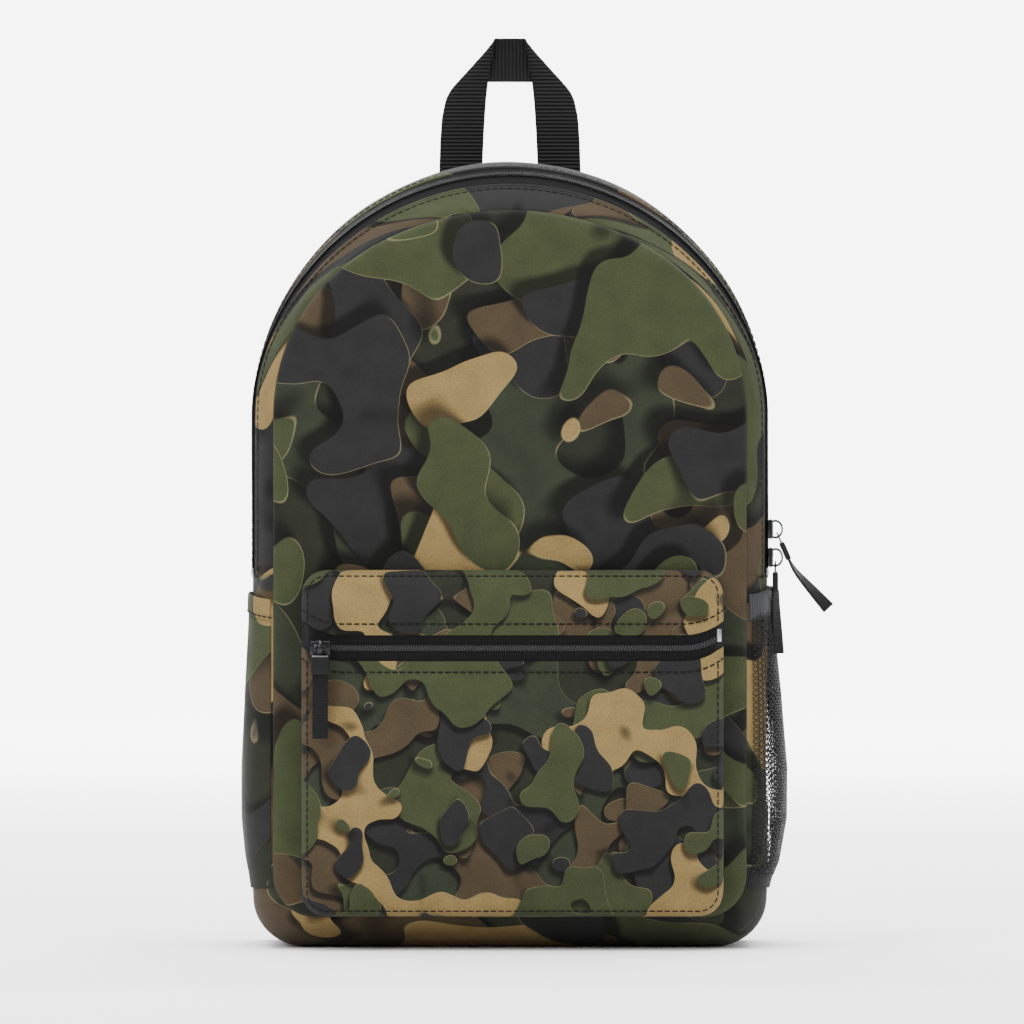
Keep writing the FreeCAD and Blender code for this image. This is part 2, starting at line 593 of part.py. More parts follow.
def slider(label, position, rotation):
    """Top plate, two flanges down to the tape, and the bail ring."""
    half_width = f"{D}slider_width / 2"
    half_length = f"{D}slider_length / 2"
    channel = f"({D}teeth_width / 2 + {D}run_gap)"
    lift = f"(2 * {D}run_gap)"
    plate = box(label + "_plate", (SLIDER_SEAT, f"-{half_width}", f"-{half_length}"),
                (f"{SLIDER_SEAT} + {D}slider_plate", half_width, half_length))
    near = box(label + "_near", (lift, f"-{half_width}", f"-{half_length}"),
               (SLIDER_SEAT, f"-{channel}", half_length))
    far = box(label + "_far", (lift, channel, f"-{half_length}"), (SLIDER_SEAT, half_width, half_length))
    ring = doc.addObject("Part::Torus", label + "_ring")
    ring.setExpression("Radius1", f"{D}bail_radius")
    ring.setExpression("Radius2", f"{D}bail_wire")
    ring.Placement = Placement(Vector(0, 0, 0), Rotation(Vector(1, 0, 0), 90))
    ring.setExpression("Placement.Base.x", BAIL_MIDDLE)
    below = box(label + "_below", (f"-{D}bail_radius * 2", f"-{half_width}", f"-{half_length}"),
                (SLIDER_SEAT, half_width, half_length))
    bail = cut(label + "_bail", ring, below)
    piece = fuse(label + "_solid", plate, near, far, bail)
    piece.Placement = Placement(Vector(0, 0, 0), rotation)
    place(piece, position)
    return finished(piece, label)


def pull(prefix, pivot, rotation, drop, lean, link_axis):
    """Wire link, crimp and ribbon. Each is made hanging from the origin and turned about it."""
    ring_middle = f"({drop} + {D}link_radius)"
    crimp_top = f"({drop} + 2 * {D}link_radius - {D}crimp_bite)"
    crimp_end = f"({crimp_top} + {D}crimp_length)"
    link = doc.addObject("Part::Torus", prefix + "_ring")
    link.setExpression("Radius1", f"{D}link_radius")
    link.setExpression("Radius2", f"{D}link_wire")
    link.Placement = Placement(Vector(0, 0, 0), Rotation(link_axis, 90))
    link.setExpression("Placement.Base.z", f"-{ring_middle}")
    block = box(prefix + "_block", (f"-{D}crimp_thickness / 2", f"-{D}crimp_width / 2", f"-{crimp_end}"),
                (f"{D}crimp_thickness / 2", f"{D}crimp_width / 2", f"-{crimp_top}"))
    ribbon = box(prefix + "_strip",
                 (f"-{D}ribbon_thickness / 2", f"-{D}ribbon_width / 2", f"-{D}ribbon_length"),
                 (f"{D}ribbon_thickness / 2", f"{D}ribbon_width / 2", f"-{D}ribbon_thickness / 2"))
    pieces = ((carried(prefix + "_wire", link), "link", "0", "0"),
              (cut(prefix + "_clip", block, link), "crimp", "0", "0"),
              (carried(prefix + "_tail", ribbon), "ribbon", crimp_end, lean))
    for piece, part, down, turn in pieces:
        angle = number(turn)
        offset = rotation.multVec(Vector(0, 0, -number(down)))
        piece.Placement = Placement(Vector(0, 0, 0), rotation * Rotation(Vector(0, -1, 0), angle))
        shifted = [f"({base}) + ({value})" for base, value in zip(pivot, offset)]
        place(piece, shifted)
        finished(piece, f"{prefix}_{part}")


UPPER_SLIDER = f"({ZIP_END} + {D}upper_slider_above)"
LOWER_SLIDER = f"({ZIP_END} + {D}lower_slider_above)"
HANG = f"({D}bail_radius - {D}bail_wire - {D}link_wire - {D}run_gap)"
OVER_BAR = f"(-({D}bail_wire + {D}link_wire + {D}run_gap))"
STRAIGHT = Rotation()
MAIN_PULLS = (("upper_pull", UPPER_SLIDER, f"{D}upper_pull_tilt", f"{D}upper_ribbon_lean"),
              ("lower_pull", LOWER_SLIDER, "0", "0"))
for prefix, height, tilt, lean in MAIN_PULLS:
    slider(prefix.replace("pull", "slider"), (ZIP_HALF, ZIP_Y, height), STRAIGHT)
    outwards = Rotation(Vector(0, -1, 0), number(tilt))
    pull(prefix, (f"{ZIP_HALF} + {BAIL_MIDDLE}", ZIP_Y, height), outwards, HANG, lean, Vector(0, 1, 0))

# The pocket's slider runs along X with its outside towards -Y, and its pull hangs straight down.
sideways = Rotation(Vector(0, -1, 0), Vector(0, 0, -1), Vector(1, 0, 0), "XZY")
POCKET_SLIDER_X = f"({POCKET_LEFT} + {D}pocket_slider_inset)"
slider("pocket_slider", (POCKET_SLIDER_X, POCKET_FACE, POCKET_ZIP), sideways)
facing_front = Rotation(Vector(0, 0, 1), -90)
POCKET_BAR = f"({POCKET_FACE} - {BAIL_MIDDLE} - {D}bail_radius)"
pull("pocket_pull", (POCKET_SLIDER_X, POCKET_BAR, POCKET_ZIP), facing_front, OVER_BAR, "0", Vector(1, 0, 0))

# ---------------------------------------------------------------- carry handle

HANDLE_TOP = f"({D}body_height + {D}handle_rise)"
HANDLE_FOLD = f"({HANDLE_TOP} - {D}handle_fold_drop)"
LEG_INNER = f"({D}handle_half_width - {D}webbing_width)"
INNER_TOP = f"({HANDLE_TOP} - {D}webbing_width)"
HANDLE_FRONT = f"({D}handle_behind - {D}webbing_thickness / 2)"
feet = form("feet_form", f"(-{D}foot_gap)")
handle_loop = new_body("handle_loop")
loop_sketch = outline(handle_loop, "loop_outline", "XZ_Plane", f"-({HANDLE_FRONT})",
                      ((f"-{D}handle_half_width", SIDES_END), (f"{D}handle_half_width", SIDES_END),
                       (f"{D}handle_half_width", HANDLE_FOLD), (f"{D}handle_top_half_width", HANDLE_TOP),
                       (f"-{D}handle_top_half_width", HANDLE_TOP), (f"-{D}handle_half_width", HANDLE_FOLD)))
loop_pad = pad(handle_loop, loop_sketch, f"{D}webbing_thickness", "loop_pad")
loop_pad.Reversed = True
loop_gap = box("loop_gap", (f"-{LEG_INNER}", "0", f"{SIDES_END} - {D}foot_gap"), (LEG_INNER, REAR, INNER_TOP))
finished(cut("carry_handle_part", cut("loop_open", handle_loop, loop_gap), feet), "carry_handle")

# ---------------------------------------------------------------- shoulder straps

finished(box("yoke", (f"-{YOKE_HALF}", REAR, YOKE_LOW), (YOKE_HALF, YOKE_FACE, YOKE_HIGH)), "strap_yoke")


def bow(name, radius):
    """A cylinder across the body whose side is one face of the bowed straps."""
    cylinder = doc.addObject("Part::Cylinder", name)
    cylinder.setExpression("Radius", radius)
    cylinder.setExpression("Height", f"2 * {FAR}")
    cylinder.Placement = Placement(Vector(0, 0, 0), Rotation(Vector(0, 1, 0), 90))
    return place(cylinder, (LEFT, STRAP_CENTRE, STRAP_MIDDLE))


strap_band = cut("strap_band", bow("strap_outer", f"{STRAP_RADIUS} + {D}strap_thickness"),
                 bow("strap_inner", STRAP_RADIUS))
STRAP_LOW_Y = f"({STRAP_CENTRE} + sqrt({STRAP_RADIUS} ^ 2 - ({D}strap_chord / 2 - {D}strap_cut) ^ 2))"
LOCK_Y = f"({STRAP_LOW_Y} + {D}strap_thickness / 2)"
LOCK_MIDDLE = f"(({STRAP_LOW_INNER} + {STRAP_LOW_OUTER}) / 2)"
LOCK_TOP = f"({STRAP_LOW} - {D}run_gap)"
LOCK_BOTTOM = f"({LOCK_TOP} - {D}lock_height)"
LOCK_CROSSBAR = f"({LOCK_BOTTOM} + {D}lock_height / 2)"
ANCHOR_OUTER = f"({D}body_half_width - {D}binding_width - {D}run_gap)"

for side, sign in (("left", -1), ("right", 1)):
    strap_outline = new_body(f"strap_outline_{side}")
    strap_sketch = outline(strap_outline, f"strap_shape_{side}", "XZ_Plane", f"-({YOKE_FACE} + {D}run_gap)",
                           ((f"{sign} * {STRAP_LOW_INNER}", STRAP_LOW),
                            (f"{sign} * {STRAP_LOW_OUTER}", STRAP_LOW),
                            (f"{sign} * {STRAP_OUTER}", STRAP_TOP),
                            (f"{sign} * {STRAP_INNER}", STRAP_TOP)))
    strap_reach = f"2 * ({D}strap_bow + {D}strap_thickness)"
    strap_pad = pad(strap_outline, strap_sketch, strap_reach, f"strap_pad_{side}")
    strap_pad.Reversed = True
    finished(common(f"strap_{side}", strap_band, strap_outline), f"shoulder_pad_{side}")

    middle = f"({sign} * {LOCK_MIDDLE})"
    lock_front = f"({LOCK_Y} - {D}lock_thickness / 2)"
    lock_rear = f"({LOCK_Y} + {D}lock_thickness / 2)"
    half_lock = f"{D}lock_width / 2"
    block = box(f"lock_block_{side}", (f"{middle} - {half_lock}", lock_front, LOCK_BOTTOM),
                (f"{middle} + {half_lock}", lock_rear, LOCK_TOP))
    half_slot = f"({half_lock} - {D}lock_bar)"
    slot_front = f"{lock_front} - {D}lock_bar"
    slot_rear = f"{lock_rear} + {D}lock_bar"
    low_slot = box(f"lock_slot_low_{side}",
                   (f"{middle} - {half_slot}", slot_front, f"{LOCK_BOTTOM} + {D}lock_bar"),
                   (f"{middle} + {half_slot}", slot_rear, f"{LOCK_CROSSBAR} - {D}lock_bar / 2"))
    high_slot = box(f"lock_slot_high_{side}",
                    (f"{middle} - {half_slot}", slot_front, f"{LOCK_CROSSBAR} + {D}lock_bar / 2"),
                    (f"{middle} + {half_slot}", slot_rear, f"{LOCK_TOP} - {D}lock_bar"))
    finished(cut(f"lock_{side}", block, fuse(f"lock_slots_{side}", low_slot, high_slot)),
             f"ladder_lock_{side}")

    anchor_body = new_body(f"anchor_body_{side}")
    anchor_sketch = outline(anchor_body, f"anchor_outline_{side}", "XZ_Plane", f"-({REAR})",
                            ((f"{sign} * {ANCHOR_OUTER}", f"{D}anchor_low"),
                             (f"{sign} * {ANCHOR_OUTER}", f"{D}anchor_high"),
                             (f"{sign} * {ANCHOR_INNER}", f"{D}anchor_high - {D}anchor_high_drop"),
                             (f"{sign} * {ANCHOR_INNER}", f"{D}anchor_low + {D}anchor_low_rise")))
    anchor_pad = pad(anchor_body, anchor_sketch, f"{D}anchor_thickness", f"anchor_pad_{side}")
    anchor_pad.Reversed = True
    finished(anchor_body, f"strap_anchor_{side}")

    # The webbing runs straight from under the ladder lock to the face of its anchor.
    lift = number(f"{D}strap_webbing_thickness / 2 + 2 * {D}run_gap")
    start = Vector(number(middle), number(LOCK_Y), number(LOCK_BOTTOM))
    end = Vector(sign * number(f"({ANCHOR_INNER} + {ANCHOR_OUTER}) / 2"),
                 number(f"{REAR} + {D}anchor_thickness") + lift,
                 number(f"({D}anchor_low + {D}anchor_high) / 2"))
    slope = abs(end.x - start.x) / (end - start).Length
    start.z -= slope * number(f"{D}strap_webbing") / 2 + number(f"2 * {D}run_gap")
    run = end - start
    webbing = doc.addObject("Part::Box", f"webbing_{side}")
    webbing.setExpression("Length", f"{D}strap_webbing")
    webbing.setExpression("Width", f"{D}strap_webbing_thickness")
    webbing.Height = run.Length
    turn = Rotation(Vector(1, 0, 0), Vector(0, 1, 0), run, "ZYX")
    corner = Vector(-number(f"{D}strap_webbing") / 2, -number(f"{D}strap_webbing_thickness") / 2, 0)
    webbing.Placement = Placement(start + turn.multVec(corner), turn)
    finished(webbing, f"adjuster_webbing_{side}")

# ---------------------------------------------------------------- check and write

doc.recompute()
failed = [piece.Label for piece in doc.Objects if "Invalid" in piece.State or "Error" in piece.State]
if failed:
    raise SystemExit("failed: " + ", ".join(failed))
for piece in kept:
    if piece.Shape.isNull() or not piece.Shape.isValid() or not piece.Shape.Solids:
        raise SystemExit("bad shape: " + piece.Label)

os.makedirs("parts", exist_ok=True)
for piece in kept:
    piece.Shape.exportStep(f"parts/{piece.Label}.step")
print(len(kept), "sub-parts written")
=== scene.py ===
"""Looks of the daypack: printed cloth, zips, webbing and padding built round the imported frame.

Metres. +Z is up, the front faces -Y and the wearer's back is at +Y.
"""

import math

import bpy
import numpy as np
from mathutils import Matrix, Vector, noise


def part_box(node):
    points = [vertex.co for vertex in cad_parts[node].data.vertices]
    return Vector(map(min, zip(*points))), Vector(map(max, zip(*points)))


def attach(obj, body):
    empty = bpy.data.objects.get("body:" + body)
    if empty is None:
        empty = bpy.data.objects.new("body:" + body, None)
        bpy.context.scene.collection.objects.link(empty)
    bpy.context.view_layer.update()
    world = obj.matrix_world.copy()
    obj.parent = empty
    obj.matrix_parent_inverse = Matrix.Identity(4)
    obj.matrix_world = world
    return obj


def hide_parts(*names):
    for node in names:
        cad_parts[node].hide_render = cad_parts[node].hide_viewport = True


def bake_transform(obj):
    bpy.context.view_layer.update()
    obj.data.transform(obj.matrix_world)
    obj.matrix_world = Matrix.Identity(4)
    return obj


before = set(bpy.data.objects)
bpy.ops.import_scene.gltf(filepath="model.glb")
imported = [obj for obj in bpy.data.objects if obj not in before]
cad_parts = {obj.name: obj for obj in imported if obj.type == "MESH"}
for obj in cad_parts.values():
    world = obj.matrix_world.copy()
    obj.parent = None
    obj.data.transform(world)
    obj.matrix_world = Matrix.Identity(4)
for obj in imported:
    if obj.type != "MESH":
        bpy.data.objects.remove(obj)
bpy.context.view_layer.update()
MM = 0.001
SIDES = (("left", -1), ("right", 1))

# ---------------------------------------------------------------- sizes of the bag

SEAM_DEPTH = 2.2 * MM  # front seam behind the front panel's face
FULL_DEPTH = 45 * MM  # depth at which the body reaches its full outline
ARCH_SHARE = 0.987  # rise of the arch over the body's half width
SPINE = (120 * MM, 330 * MM)  # ends of the upright line in the middle of the front and back panels

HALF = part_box("back_panel")[1].x
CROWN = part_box("back_panel")[1].z
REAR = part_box("back_panel")[1].y
SEAM_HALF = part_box("front_panel_lower")[1].x
SEAM_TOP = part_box("front_panel_upper")[1].z
SEAM_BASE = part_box("front_panel_lower")[0].z
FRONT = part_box("front_panel_upper")[0].y
SEAM_Y = FRONT + SEAM_DEPTH
FULL_Y = FRONT + FULL_DEPTH
SPRING = CROWN - ARCH_SHARE * HALF
ZIP_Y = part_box("main_zip_teeth_rear")[0].y
ZIP_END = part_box("rear_gusset")[0].z
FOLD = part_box("front_panel_upper")[0].z
TAPE_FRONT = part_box("main_zip_tape_front")[0].y
TAPE_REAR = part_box("main_zip_tape_rear")[1].y
SIDE_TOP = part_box("mesh_pocket_elastic")[1].z
SIDE_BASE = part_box("mesh_pocket_trim")[0].z
SIDE_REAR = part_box("mesh_pocket")[1].y
POCKET_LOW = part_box("pocket_lower_panel")[0]
POCKET_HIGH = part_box("pocket_upper_panel")[1]
POCKET_TAPE = (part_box("pocket_zip_tape")[0].z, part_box("pocket_zip_tape")[1].z)

# ---------------------------------------------------------------- materials


class Value:
    """One output of a shader node. Arithmetic on it adds Math nodes."""

    def __init__(self, finish, socket):
        self.finish = finish
        self.socket = socket

    def __add__(self, other):
        return self.finish.maths("ADD", self, other)

    def __radd__(self, other):
        return self.finish.maths("ADD", other, self)

    def __sub__(self, other):
        return self.finish.maths("SUBTRACT", self, other)

    def __rsub__(self, other):
        return self.finish.maths("SUBTRACT", other, self)

    def __mul__(self, other):
        return self.finish.maths("MULTIPLY", self, other)

    def __rmul__(self, other):
        return self.finish.maths("MULTIPLY", other, self)

    def step(self, low, high):
        """0 below low, 1 above high, smooth between."""
        inputs = {"Value": self, "From Min": low, "From Max": high}
        return self.finish.node("MapRange", inputs, interpolation_type="SMOOTHSTEP")


class Finish:
    """A material of one Principled shader, with the nodes that drive it."""

    def __init__(self, name, colour=None, **sockets):
        self.material = bpy.data.materials.new(name)
        self.material.use_nodes = True
        self.tree = self.material.node_tree
        self.shader = self.tree.nodes["Principled BSDF"]
        if colour is not None:
            self.set("Base Color", colour)
        for socket, value in sockets.items():
            self.set(socket.replace("_", " "), value)

    def node(self, kind, inputs, out=0, **settings):
        made = self.tree.nodes.new("ShaderNode" + kind)
        for key, value in settings.items():
            setattr(made, key, value)
        for key, value in inputs.items():
            self.feed(made.inputs[key], value)
        return Value(self, made.outputs[out])

    def maths(self, operation, *parts, clamped=False):
        return self.node("Math", dict(enumerate(parts)), operation=operation, use_clamp=clamped)

    def feed(self, socket, value):
        if isinstance(value, Value):
            self.tree.links.new(value.socket, socket)
        else:
            socket.default_value = value

    def set(self, socket, value):
        self.feed(self.shader.inputs[socket], value)

    def mixed(self, share, first, second):
        """Two colours mixed by a share."""
        return self.node("Mix", {0: share, 6: first, 7: second}, out=2, data_type="RGBA")

    def scaled(self, place, scale, offset=(0, 0, 0)):
        """A place scaled, then moved."""
        scale = scale if isinstance(scale, tuple) else (scale,) * 3
        return self.node("VectorMath", {0: place, 1: scale, 2: offset}, operation="MULTIPLY_ADD")

    def axis(self, place, index):
        return self.node("SeparateXYZ", {0: place}, out=index)

    def uv(self):
        """The piece's own cloth map, in metres."""
        return self.node("UVMap", {}, uv_map="cloth")

    def where(self):
        return self.node("TexCoord", {}, out="Object")

    def noise(self, place, scale, detail, **settings):
        return self.node("TexNoise", {"Vector": place, "Scale": scale, "Detail": detail}, **settings)

    def bump(self, height, distance, strength):
        return self.node("Bump", {"Height": height, "Distance": distance, "Strength": strength})

    def threads(self, place, across, along):
        """Height of a plain weave: over-and-under threads at two pitches, in metres."""
        turn = 2 * math.pi
        first = self.maths("SINE", self.axis(place, 0) * (turn / across))
        second = self.maths("SINE", self.axis(place, 1) * (turn / along))
        return first * second


def rgb(*levels):
    """A colour given in display levels, as linear light."""
    return (*(((v / 255 + 0.055) / 1.055) ** 2.4 for v in levels), 1.0)


def lit_by(colour, share, more=0.0):
    """A colour made lighter or darker, at most white."""
    return tuple(min(1.0, c * share + more) for c in colour[:3]) + (1.0,)


SAND = rgb(106, 89, 55)
OLIVE = rgb(45, 50, 31)
BROWN = rgb(54, 45, 32)
CHARCOAL = rgb(27, 27, 27)
MOSS = rgb(34, 38, 28)
GROUND = rgb(27, 29, 21)
SHADE = rgb(3, 3, 2)
EDGE = rgb(116, 110, 80)

# Colour, spot size over the print's cell, how little of the cloth it covers.
PRINT = (
    (MOSS, 1.2, 0.53),
    (BROWN, 1.05, 0.585),
    (CHARCOAL, 1.0, 0.635),
    (BROWN, 0.95, 0.65),
    (OLIVE, 1.0, 0.645),
    (SAND, 0.95, 0.672),
    (CHARCOAL, 0.9, 0.675),
    (OLIVE, 0.9, 0.67),
)


WIDE_SCALE, LOBE_SCALE, LOBE_SHARE = 0.8, 1.7, 0.55  # the spots' two bands of noise
CAST = 0.075  # how far a spot's shadow falls, over the print's cell


def printed_cloth(name, cell, seed, light):
    """Brushed polyester printed with layers of lobed spots.

    Each has a soft shadow and a light edge.
    """
    finish = Finish(name, Specular_IOR_Level=0.1, Sheen_Weight=0.02, Sheen_Roughness=0.5)
    place = finish.uv()
    colour = GROUND
    for index, (tone, size, level) in enumerate(PRINT):
        home = (seed + index * 7.31, seed * 1.7 + index * 3.77, 0)
        cast = (home[0] + light[0] * CAST, home[1] + light[1] * CAST, 0)
        fields = []
        for offset in (home, cast):
            spread = finish.scaled(place, 1 / (cell * size), offset)
            wide = finish.noise(spread, WIDE_SCALE, 0.0, noise_dimensions="2D")
            lobes = finish.noise(spread, LOBE_SCALE, 0.0, noise_dimensions="2D")
            fields.append(wide + (lobes - 0.5) * LOBE_SHARE)
        here, there = fields
        spot = here.step(level, level + 0.006)
        shadow = there.step(level - 0.05, level + 0.018)
        lit = finish.maths("MULTIPLY", here - there, 30.0, clamped=True)
        rim = here.step(level, level + 0.003) - here.step(level + 0.004, level + 0.01)
        colour = finish.mixed(shadow * 0.8, colour, SHADE)
        colour = finish.mixed(spot, colour, finish.mixed(rim * lit * 0.5, tone, EDGE))
    grain = finish.noise(place, 900.0, 3.0, noise_dimensions="2D")
    nap = finish.noise(place, 60.0, 3.0, noise_dimensions="2D")
    tone = (grain - 0.5) * 0.7 + (nap - 0.5) * 0.45 + 1.0
    finish.set("Base Color", finish.node("VectorMath", {0: colour, 3: tone}, operation="SCALE"))
    finish.set("Roughness", 0.8 + (grain - 0.5) * 0.2)
    weave = finish.threads(place, 0.9 * MM, 0.9 * MM)
    finish.set("Normal", finish.bump(weave * 0.3 + grain, 0.25 * MM, 0.55))
    return finish.material


def ribbed_webbing(name, colour, rib, roughness=0.62):
    """Woven strapping: ribs across its width, threads along it."""
    finish = Finish(name, Specular_IOR_Level=0.09, Sheen_Weight=0.01)
    place = finish.uv()
    ribs = finish.maths("SINE", finish.axis(place, 0) * (2 * math.pi / rib)) * 0.75
    ribs = ribs + finish.threads(place, rib, rib * 0.55) * 0.25
    fuzz = finish.noise(place, 1500.0, 2.0)
    # Painted highlight: the rib crests are coloured lighter than the hollows, where light would catch them.
    lift = ribs * 0.5 + 0.5
    painted_rib_highlight = finish.mixed(lift, colour, lit_by(colour, 2.6, 0.009))
    finish.set("Base Color", finish.mixed(fuzz * 0.35, painted_rib_highlight, colour))
    finish.set("Roughness", roughness + (fuzz - 0.5) * 0.2)
    finish.set("Normal", finish.bump(ribs + fuzz * 0.5, 0.45 * MM, 0.9))
    return finish.material


def moulded_plastic(name, colour, roughness):
    finish = Finish(name, Specular_IOR_Level=0.15)
    grit = finish.noise(finish.where(), 900.0, 3.0)
    wear = finish.noise(finish.where(), 60.0, 2.0)
    finish.set("Base Color", finish.mixed(wear * 0.5, colour, lit_by(colour, 1.8)))
    finish.set("Roughness", roughness + (grit - 0.5) * 0.25)
    finish.set("Normal", finish.bump(grit, 0.05 * MM, 0.5))
    return finish.material


def metal(name, colour, roughness, metallic=1.0):
    finish = Finish(name, Metallic=metallic)
    brushed = finish.noise(finish.scaled(finish.where(), (1.0, 1.0, 6.0)), 700.0, 3.0)
    marks = finish.noise(finish.where(), 240.0, 2.0)
    finish.set("Base Color", finish.mixed(marks * 0.5, colour, lit_by(colour, 0.7)))
    finish.set("Roughness", roughness + (brushed - 0.5) * 0.2)
    finish.set("Normal", finish.bump(brushed, 0.03 * MM, 0.4))
    return finish.material


def spacer_mesh(name, colour):
    """Padded knit with small round pores."""
    finish = Finish(name, Specular_IOR_Level=0.2, Sheen_Weight=0.1)
    place = finish.scaled(finish.uv(), 1 / (3.2 * MM))
    inputs = {"Vector": place, "Scale": 1.0, "Randomness": 0.12}
    cell = finish.node("TexVoronoi", inputs, voronoi_dimensions="2D")
    pore_with_painted_shade = 1 - cell.step(0.16, 0.4)
    knit = finish.noise(finish.where(), 1400.0, 2.0)
    # Painted shade: each pore is coloured near black, as shade inside the hole.
    finish.set("Base Color", finish.mixed(pore_with_painted_shade, colour, rgb(5, 5, 5)))
    finish.set("Roughness", 0.75 + (knit - 0.5) * 0.2)
    finish.set("Normal", finish.bump(pore_with_painted_shade * -1 + knit * 0.15, 0.8 * MM, 0.8))
    return finish.material


CAMO = printed_cloth("camo_fabric", 84 * MM, 55.5, (1.0, -1.0))
GUSSET_CAMO = printed_cloth("gusset_fabric", 84 * MM, 11.6, (1.0, -1.0))
POCKET_CAMO = printed_cloth("pocket_fabric", 42 * MM, 21.3, (0.35, 1.0))
LINING = ribbed_webbing("lining", rgb(48, 49, 47), 0.8 * MM, 0.7)
BLACK = rgb(6, 6, 7)
WEBBING = ribbed_webbing("black_webbing", BLACK, 2.2 * MM)
WEBBING_FINE = ribbed_webbing("black_ribbon", BLACK, 0.9 * MM)
TAPE = ribbed_webbing("zip_tape", rgb(5, 5, 6), 0.7 * MM)
BINDING = ribbed_webbing("black_binding", BLACK, 0.9 * MM)
ELASTIC = ribbed_webbing("black_elastic", rgb(34, 34, 36), 1.0 * MM, 0.45)
THREAD = ribbed_webbing("thread", rgb(7, 7, 6), 0.5 * MM)
NET = moulded_plastic("black_mesh", rgb(8, 8, 9), 0.5)
COIL = moulded_plastic("zip_coil", rgb(9, 9, 10), 0.6)
BRIGHT_COIL = metal("pocket_coil", rgb(48, 48, 50), 0.3, 0.5)
ENAMEL = metal("slider_metal", rgb(24, 24, 26), 0.24, 0.6)
STEEL = metal("bare_steel", rgb(172, 172, 176), 0.3)
DULL_STEEL = metal("crimp_lip", rgb(104, 104, 106), 0.4)
PLASTIC = moulded_plastic("black_plastic", rgb(8, 8, 9), 0.55)
SPACER = spacer_mesh("spacer_mesh", rgb(19, 19, 20))

# ---------------------------------------------------------------- making cloth, straps and stitches


def chosen_only(piece):
    """Leave nothing selected but one piece."""
    bpy.ops.object.select_all(action="DESELECT")
    piece.select_set(True)
    bpy.context.view_layer.objects.active = piece
    return piece


def apply(piece, kind, name="shaping", **settings):
    """Add a modifier and apply it."""
    chosen_only(piece)
    modifier = piece.modifiers.new(name, kind)
    for key, value in settings.items():
        setattr(modifier, key, value)
    bpy.ops.object.modifier_apply(modifier=modifier.name)
    return piece


def facing_out(piece):
    """Turn every face of a closed piece outwards."""
    chosen_only(piece)
    bpy.ops.object.mode_set(mode="EDIT")
    bpy.ops.mesh.select_all(action="SELECT")
    bpy.ops.mesh.normals_make_consistent(inside=False)
    bpy.ops.object.mode_set(mode="OBJECT")


def smoothed(piece, degrees=None):
    """Shade smooth, all over or below an angle."""
    chosen_only(piece)
    if degrees is None:
        bpy.ops.object.shade_smooth()
    else:
        bpy.ops.object.shade_smooth_by_angle(angle=math.radians(degrees))
    return piece


def mesh_piece(name, points, faces, *covers):
    mesh = bpy.data.meshes.new(name)
    mesh.from_pydata([tuple(p) for p in points], [], faces)
    for cover in covers:
        mesh.materials.append(cover)
    piece = bpy.data.objects.new(name, mesh)
    bpy.context.scene.collection.objects.link(piece)
    return piece


def grid_faces(rows, columns, joined=False):
    """Squares of a grid of points. joined closes each row on itself."""
    faces = []
    for r in range(rows - 1):
        for c in range(columns if joined else columns - 1):
            d = (c + 1) % columns
            faces.append((r * columns + c, r * columns + d, (r + 1) * columns + d, (r + 1) * columns + c))
    return faces


def end_faces(rows, columns):
    """The faces that close the first and last rings of a tube."""
    return [tuple(range(columns)), tuple(range(rows * columns - 1, (rows - 1) * columns - 1, -1))]


def map_cloth(piece, marks):
    """Write each point's place on the cloth, in metres, into the piece's own map."""
    layer = piece.data.uv_layers.new(name="cloth")
    for loop in piece.data.loops:
        layer.data[loop.index].uv = marks[loop.vertex_index]


def cloth(name, grid, marks, *covers, wall, joined=False, centre=(0, 0, 0.22)):
    """A sheet of cloth through a grid of points, with its outside away from the centre."""
    rows, columns = grid.shape[:2]
    piece = mesh_piece(name, grid.reshape(-1, 3), grid_faces(rows, columns, joined), *covers)
    map_cloth(piece, np.asarray(marks).reshape(-1, 2))
    if joined:
        apply(piece, "WELD", merge_threshold=0.01 * MM)
    outward = sum((Vector(f.center) - Vector(centre)).dot(f.normal) * f.area for f in piece.data.polygons)
    if outward < 0:
        piece.data.flip_normals()
    apply(piece, "SUBSURF", levels=1, render_levels=1, boundary_smooth="PRESERVE_CORNERS")
    if wall:
        apply(piece, "SOLIDIFY", thickness=wall, offset=-1.0, material_offset=len(covers) - 1)
    return smoothed(piece)


def lengths(points):
    """Distance run along a line of points, from its start."""
    steps = np.linalg.norm(np.diff(points, axis=0), axis=1)
    return np.concatenate(([0.0], np.cumsum(steps)))


def resampled(points, step):
    """Points at an even step along a line."""
    run = lengths(points)
    count = max(2, int(round(run[-1] / step)) + 1)
    even = np.linspace(0, run[-1], count)
    return np.stack([np.interp(even, run, points[:, axis]) for axis in range(3)], axis=1)


def evenly(line, outside, step):
    """Points at an even step along a line, and the way out at each."""
    points = resampled(line, step)
    run, given = lengths(points), lengths(line)
    spread = run * given[-1] / run[-1]
    return points, np.stack([np.interp(spread, given, outside[:, axis]) for axis in range(3)], axis=1)


def frames_along(points, outside):
    """A turn and place at each point: X along the line, Z outwards."""
    ahead = np.gradient(points, axis=0)
    places = []
    for point, run, out in zip(points, ahead, outside):
        along = Vector(run).normalized()
        side = Vector(out).cross(along).normalized()
        up = along.cross(side)
        places.append(Matrix.Translation(Vector(point)) @ Matrix((along, side, up)).transposed().to_4x4())
    return places


def repeated(name, shape, places, cover):
    """One piece made of a small shape copied to each place."""
    points = np.array([vertex.co for vertex in shape.data.vertices])
    faces = [tuple(face.vertices) for face in shape.data.polygons]
    all_points = []
    all_faces = []
    for number, place in enumerate(places):
        turn = np.array(place)
        all_points.append(points @ turn[:3, :3].T + turn[:3, 3])
        all_faces += [tuple(v + number * len(points) for v in face) for face in faces]
    piece = mesh_piece(name, np.concatenate(all_points), all_faces, cover)
    marks = [(v.co.x + v.co.y, v.co.z) for v in piece.data.vertices]
    map_cloth(piece, marks)
    return smoothed(piece, 50)


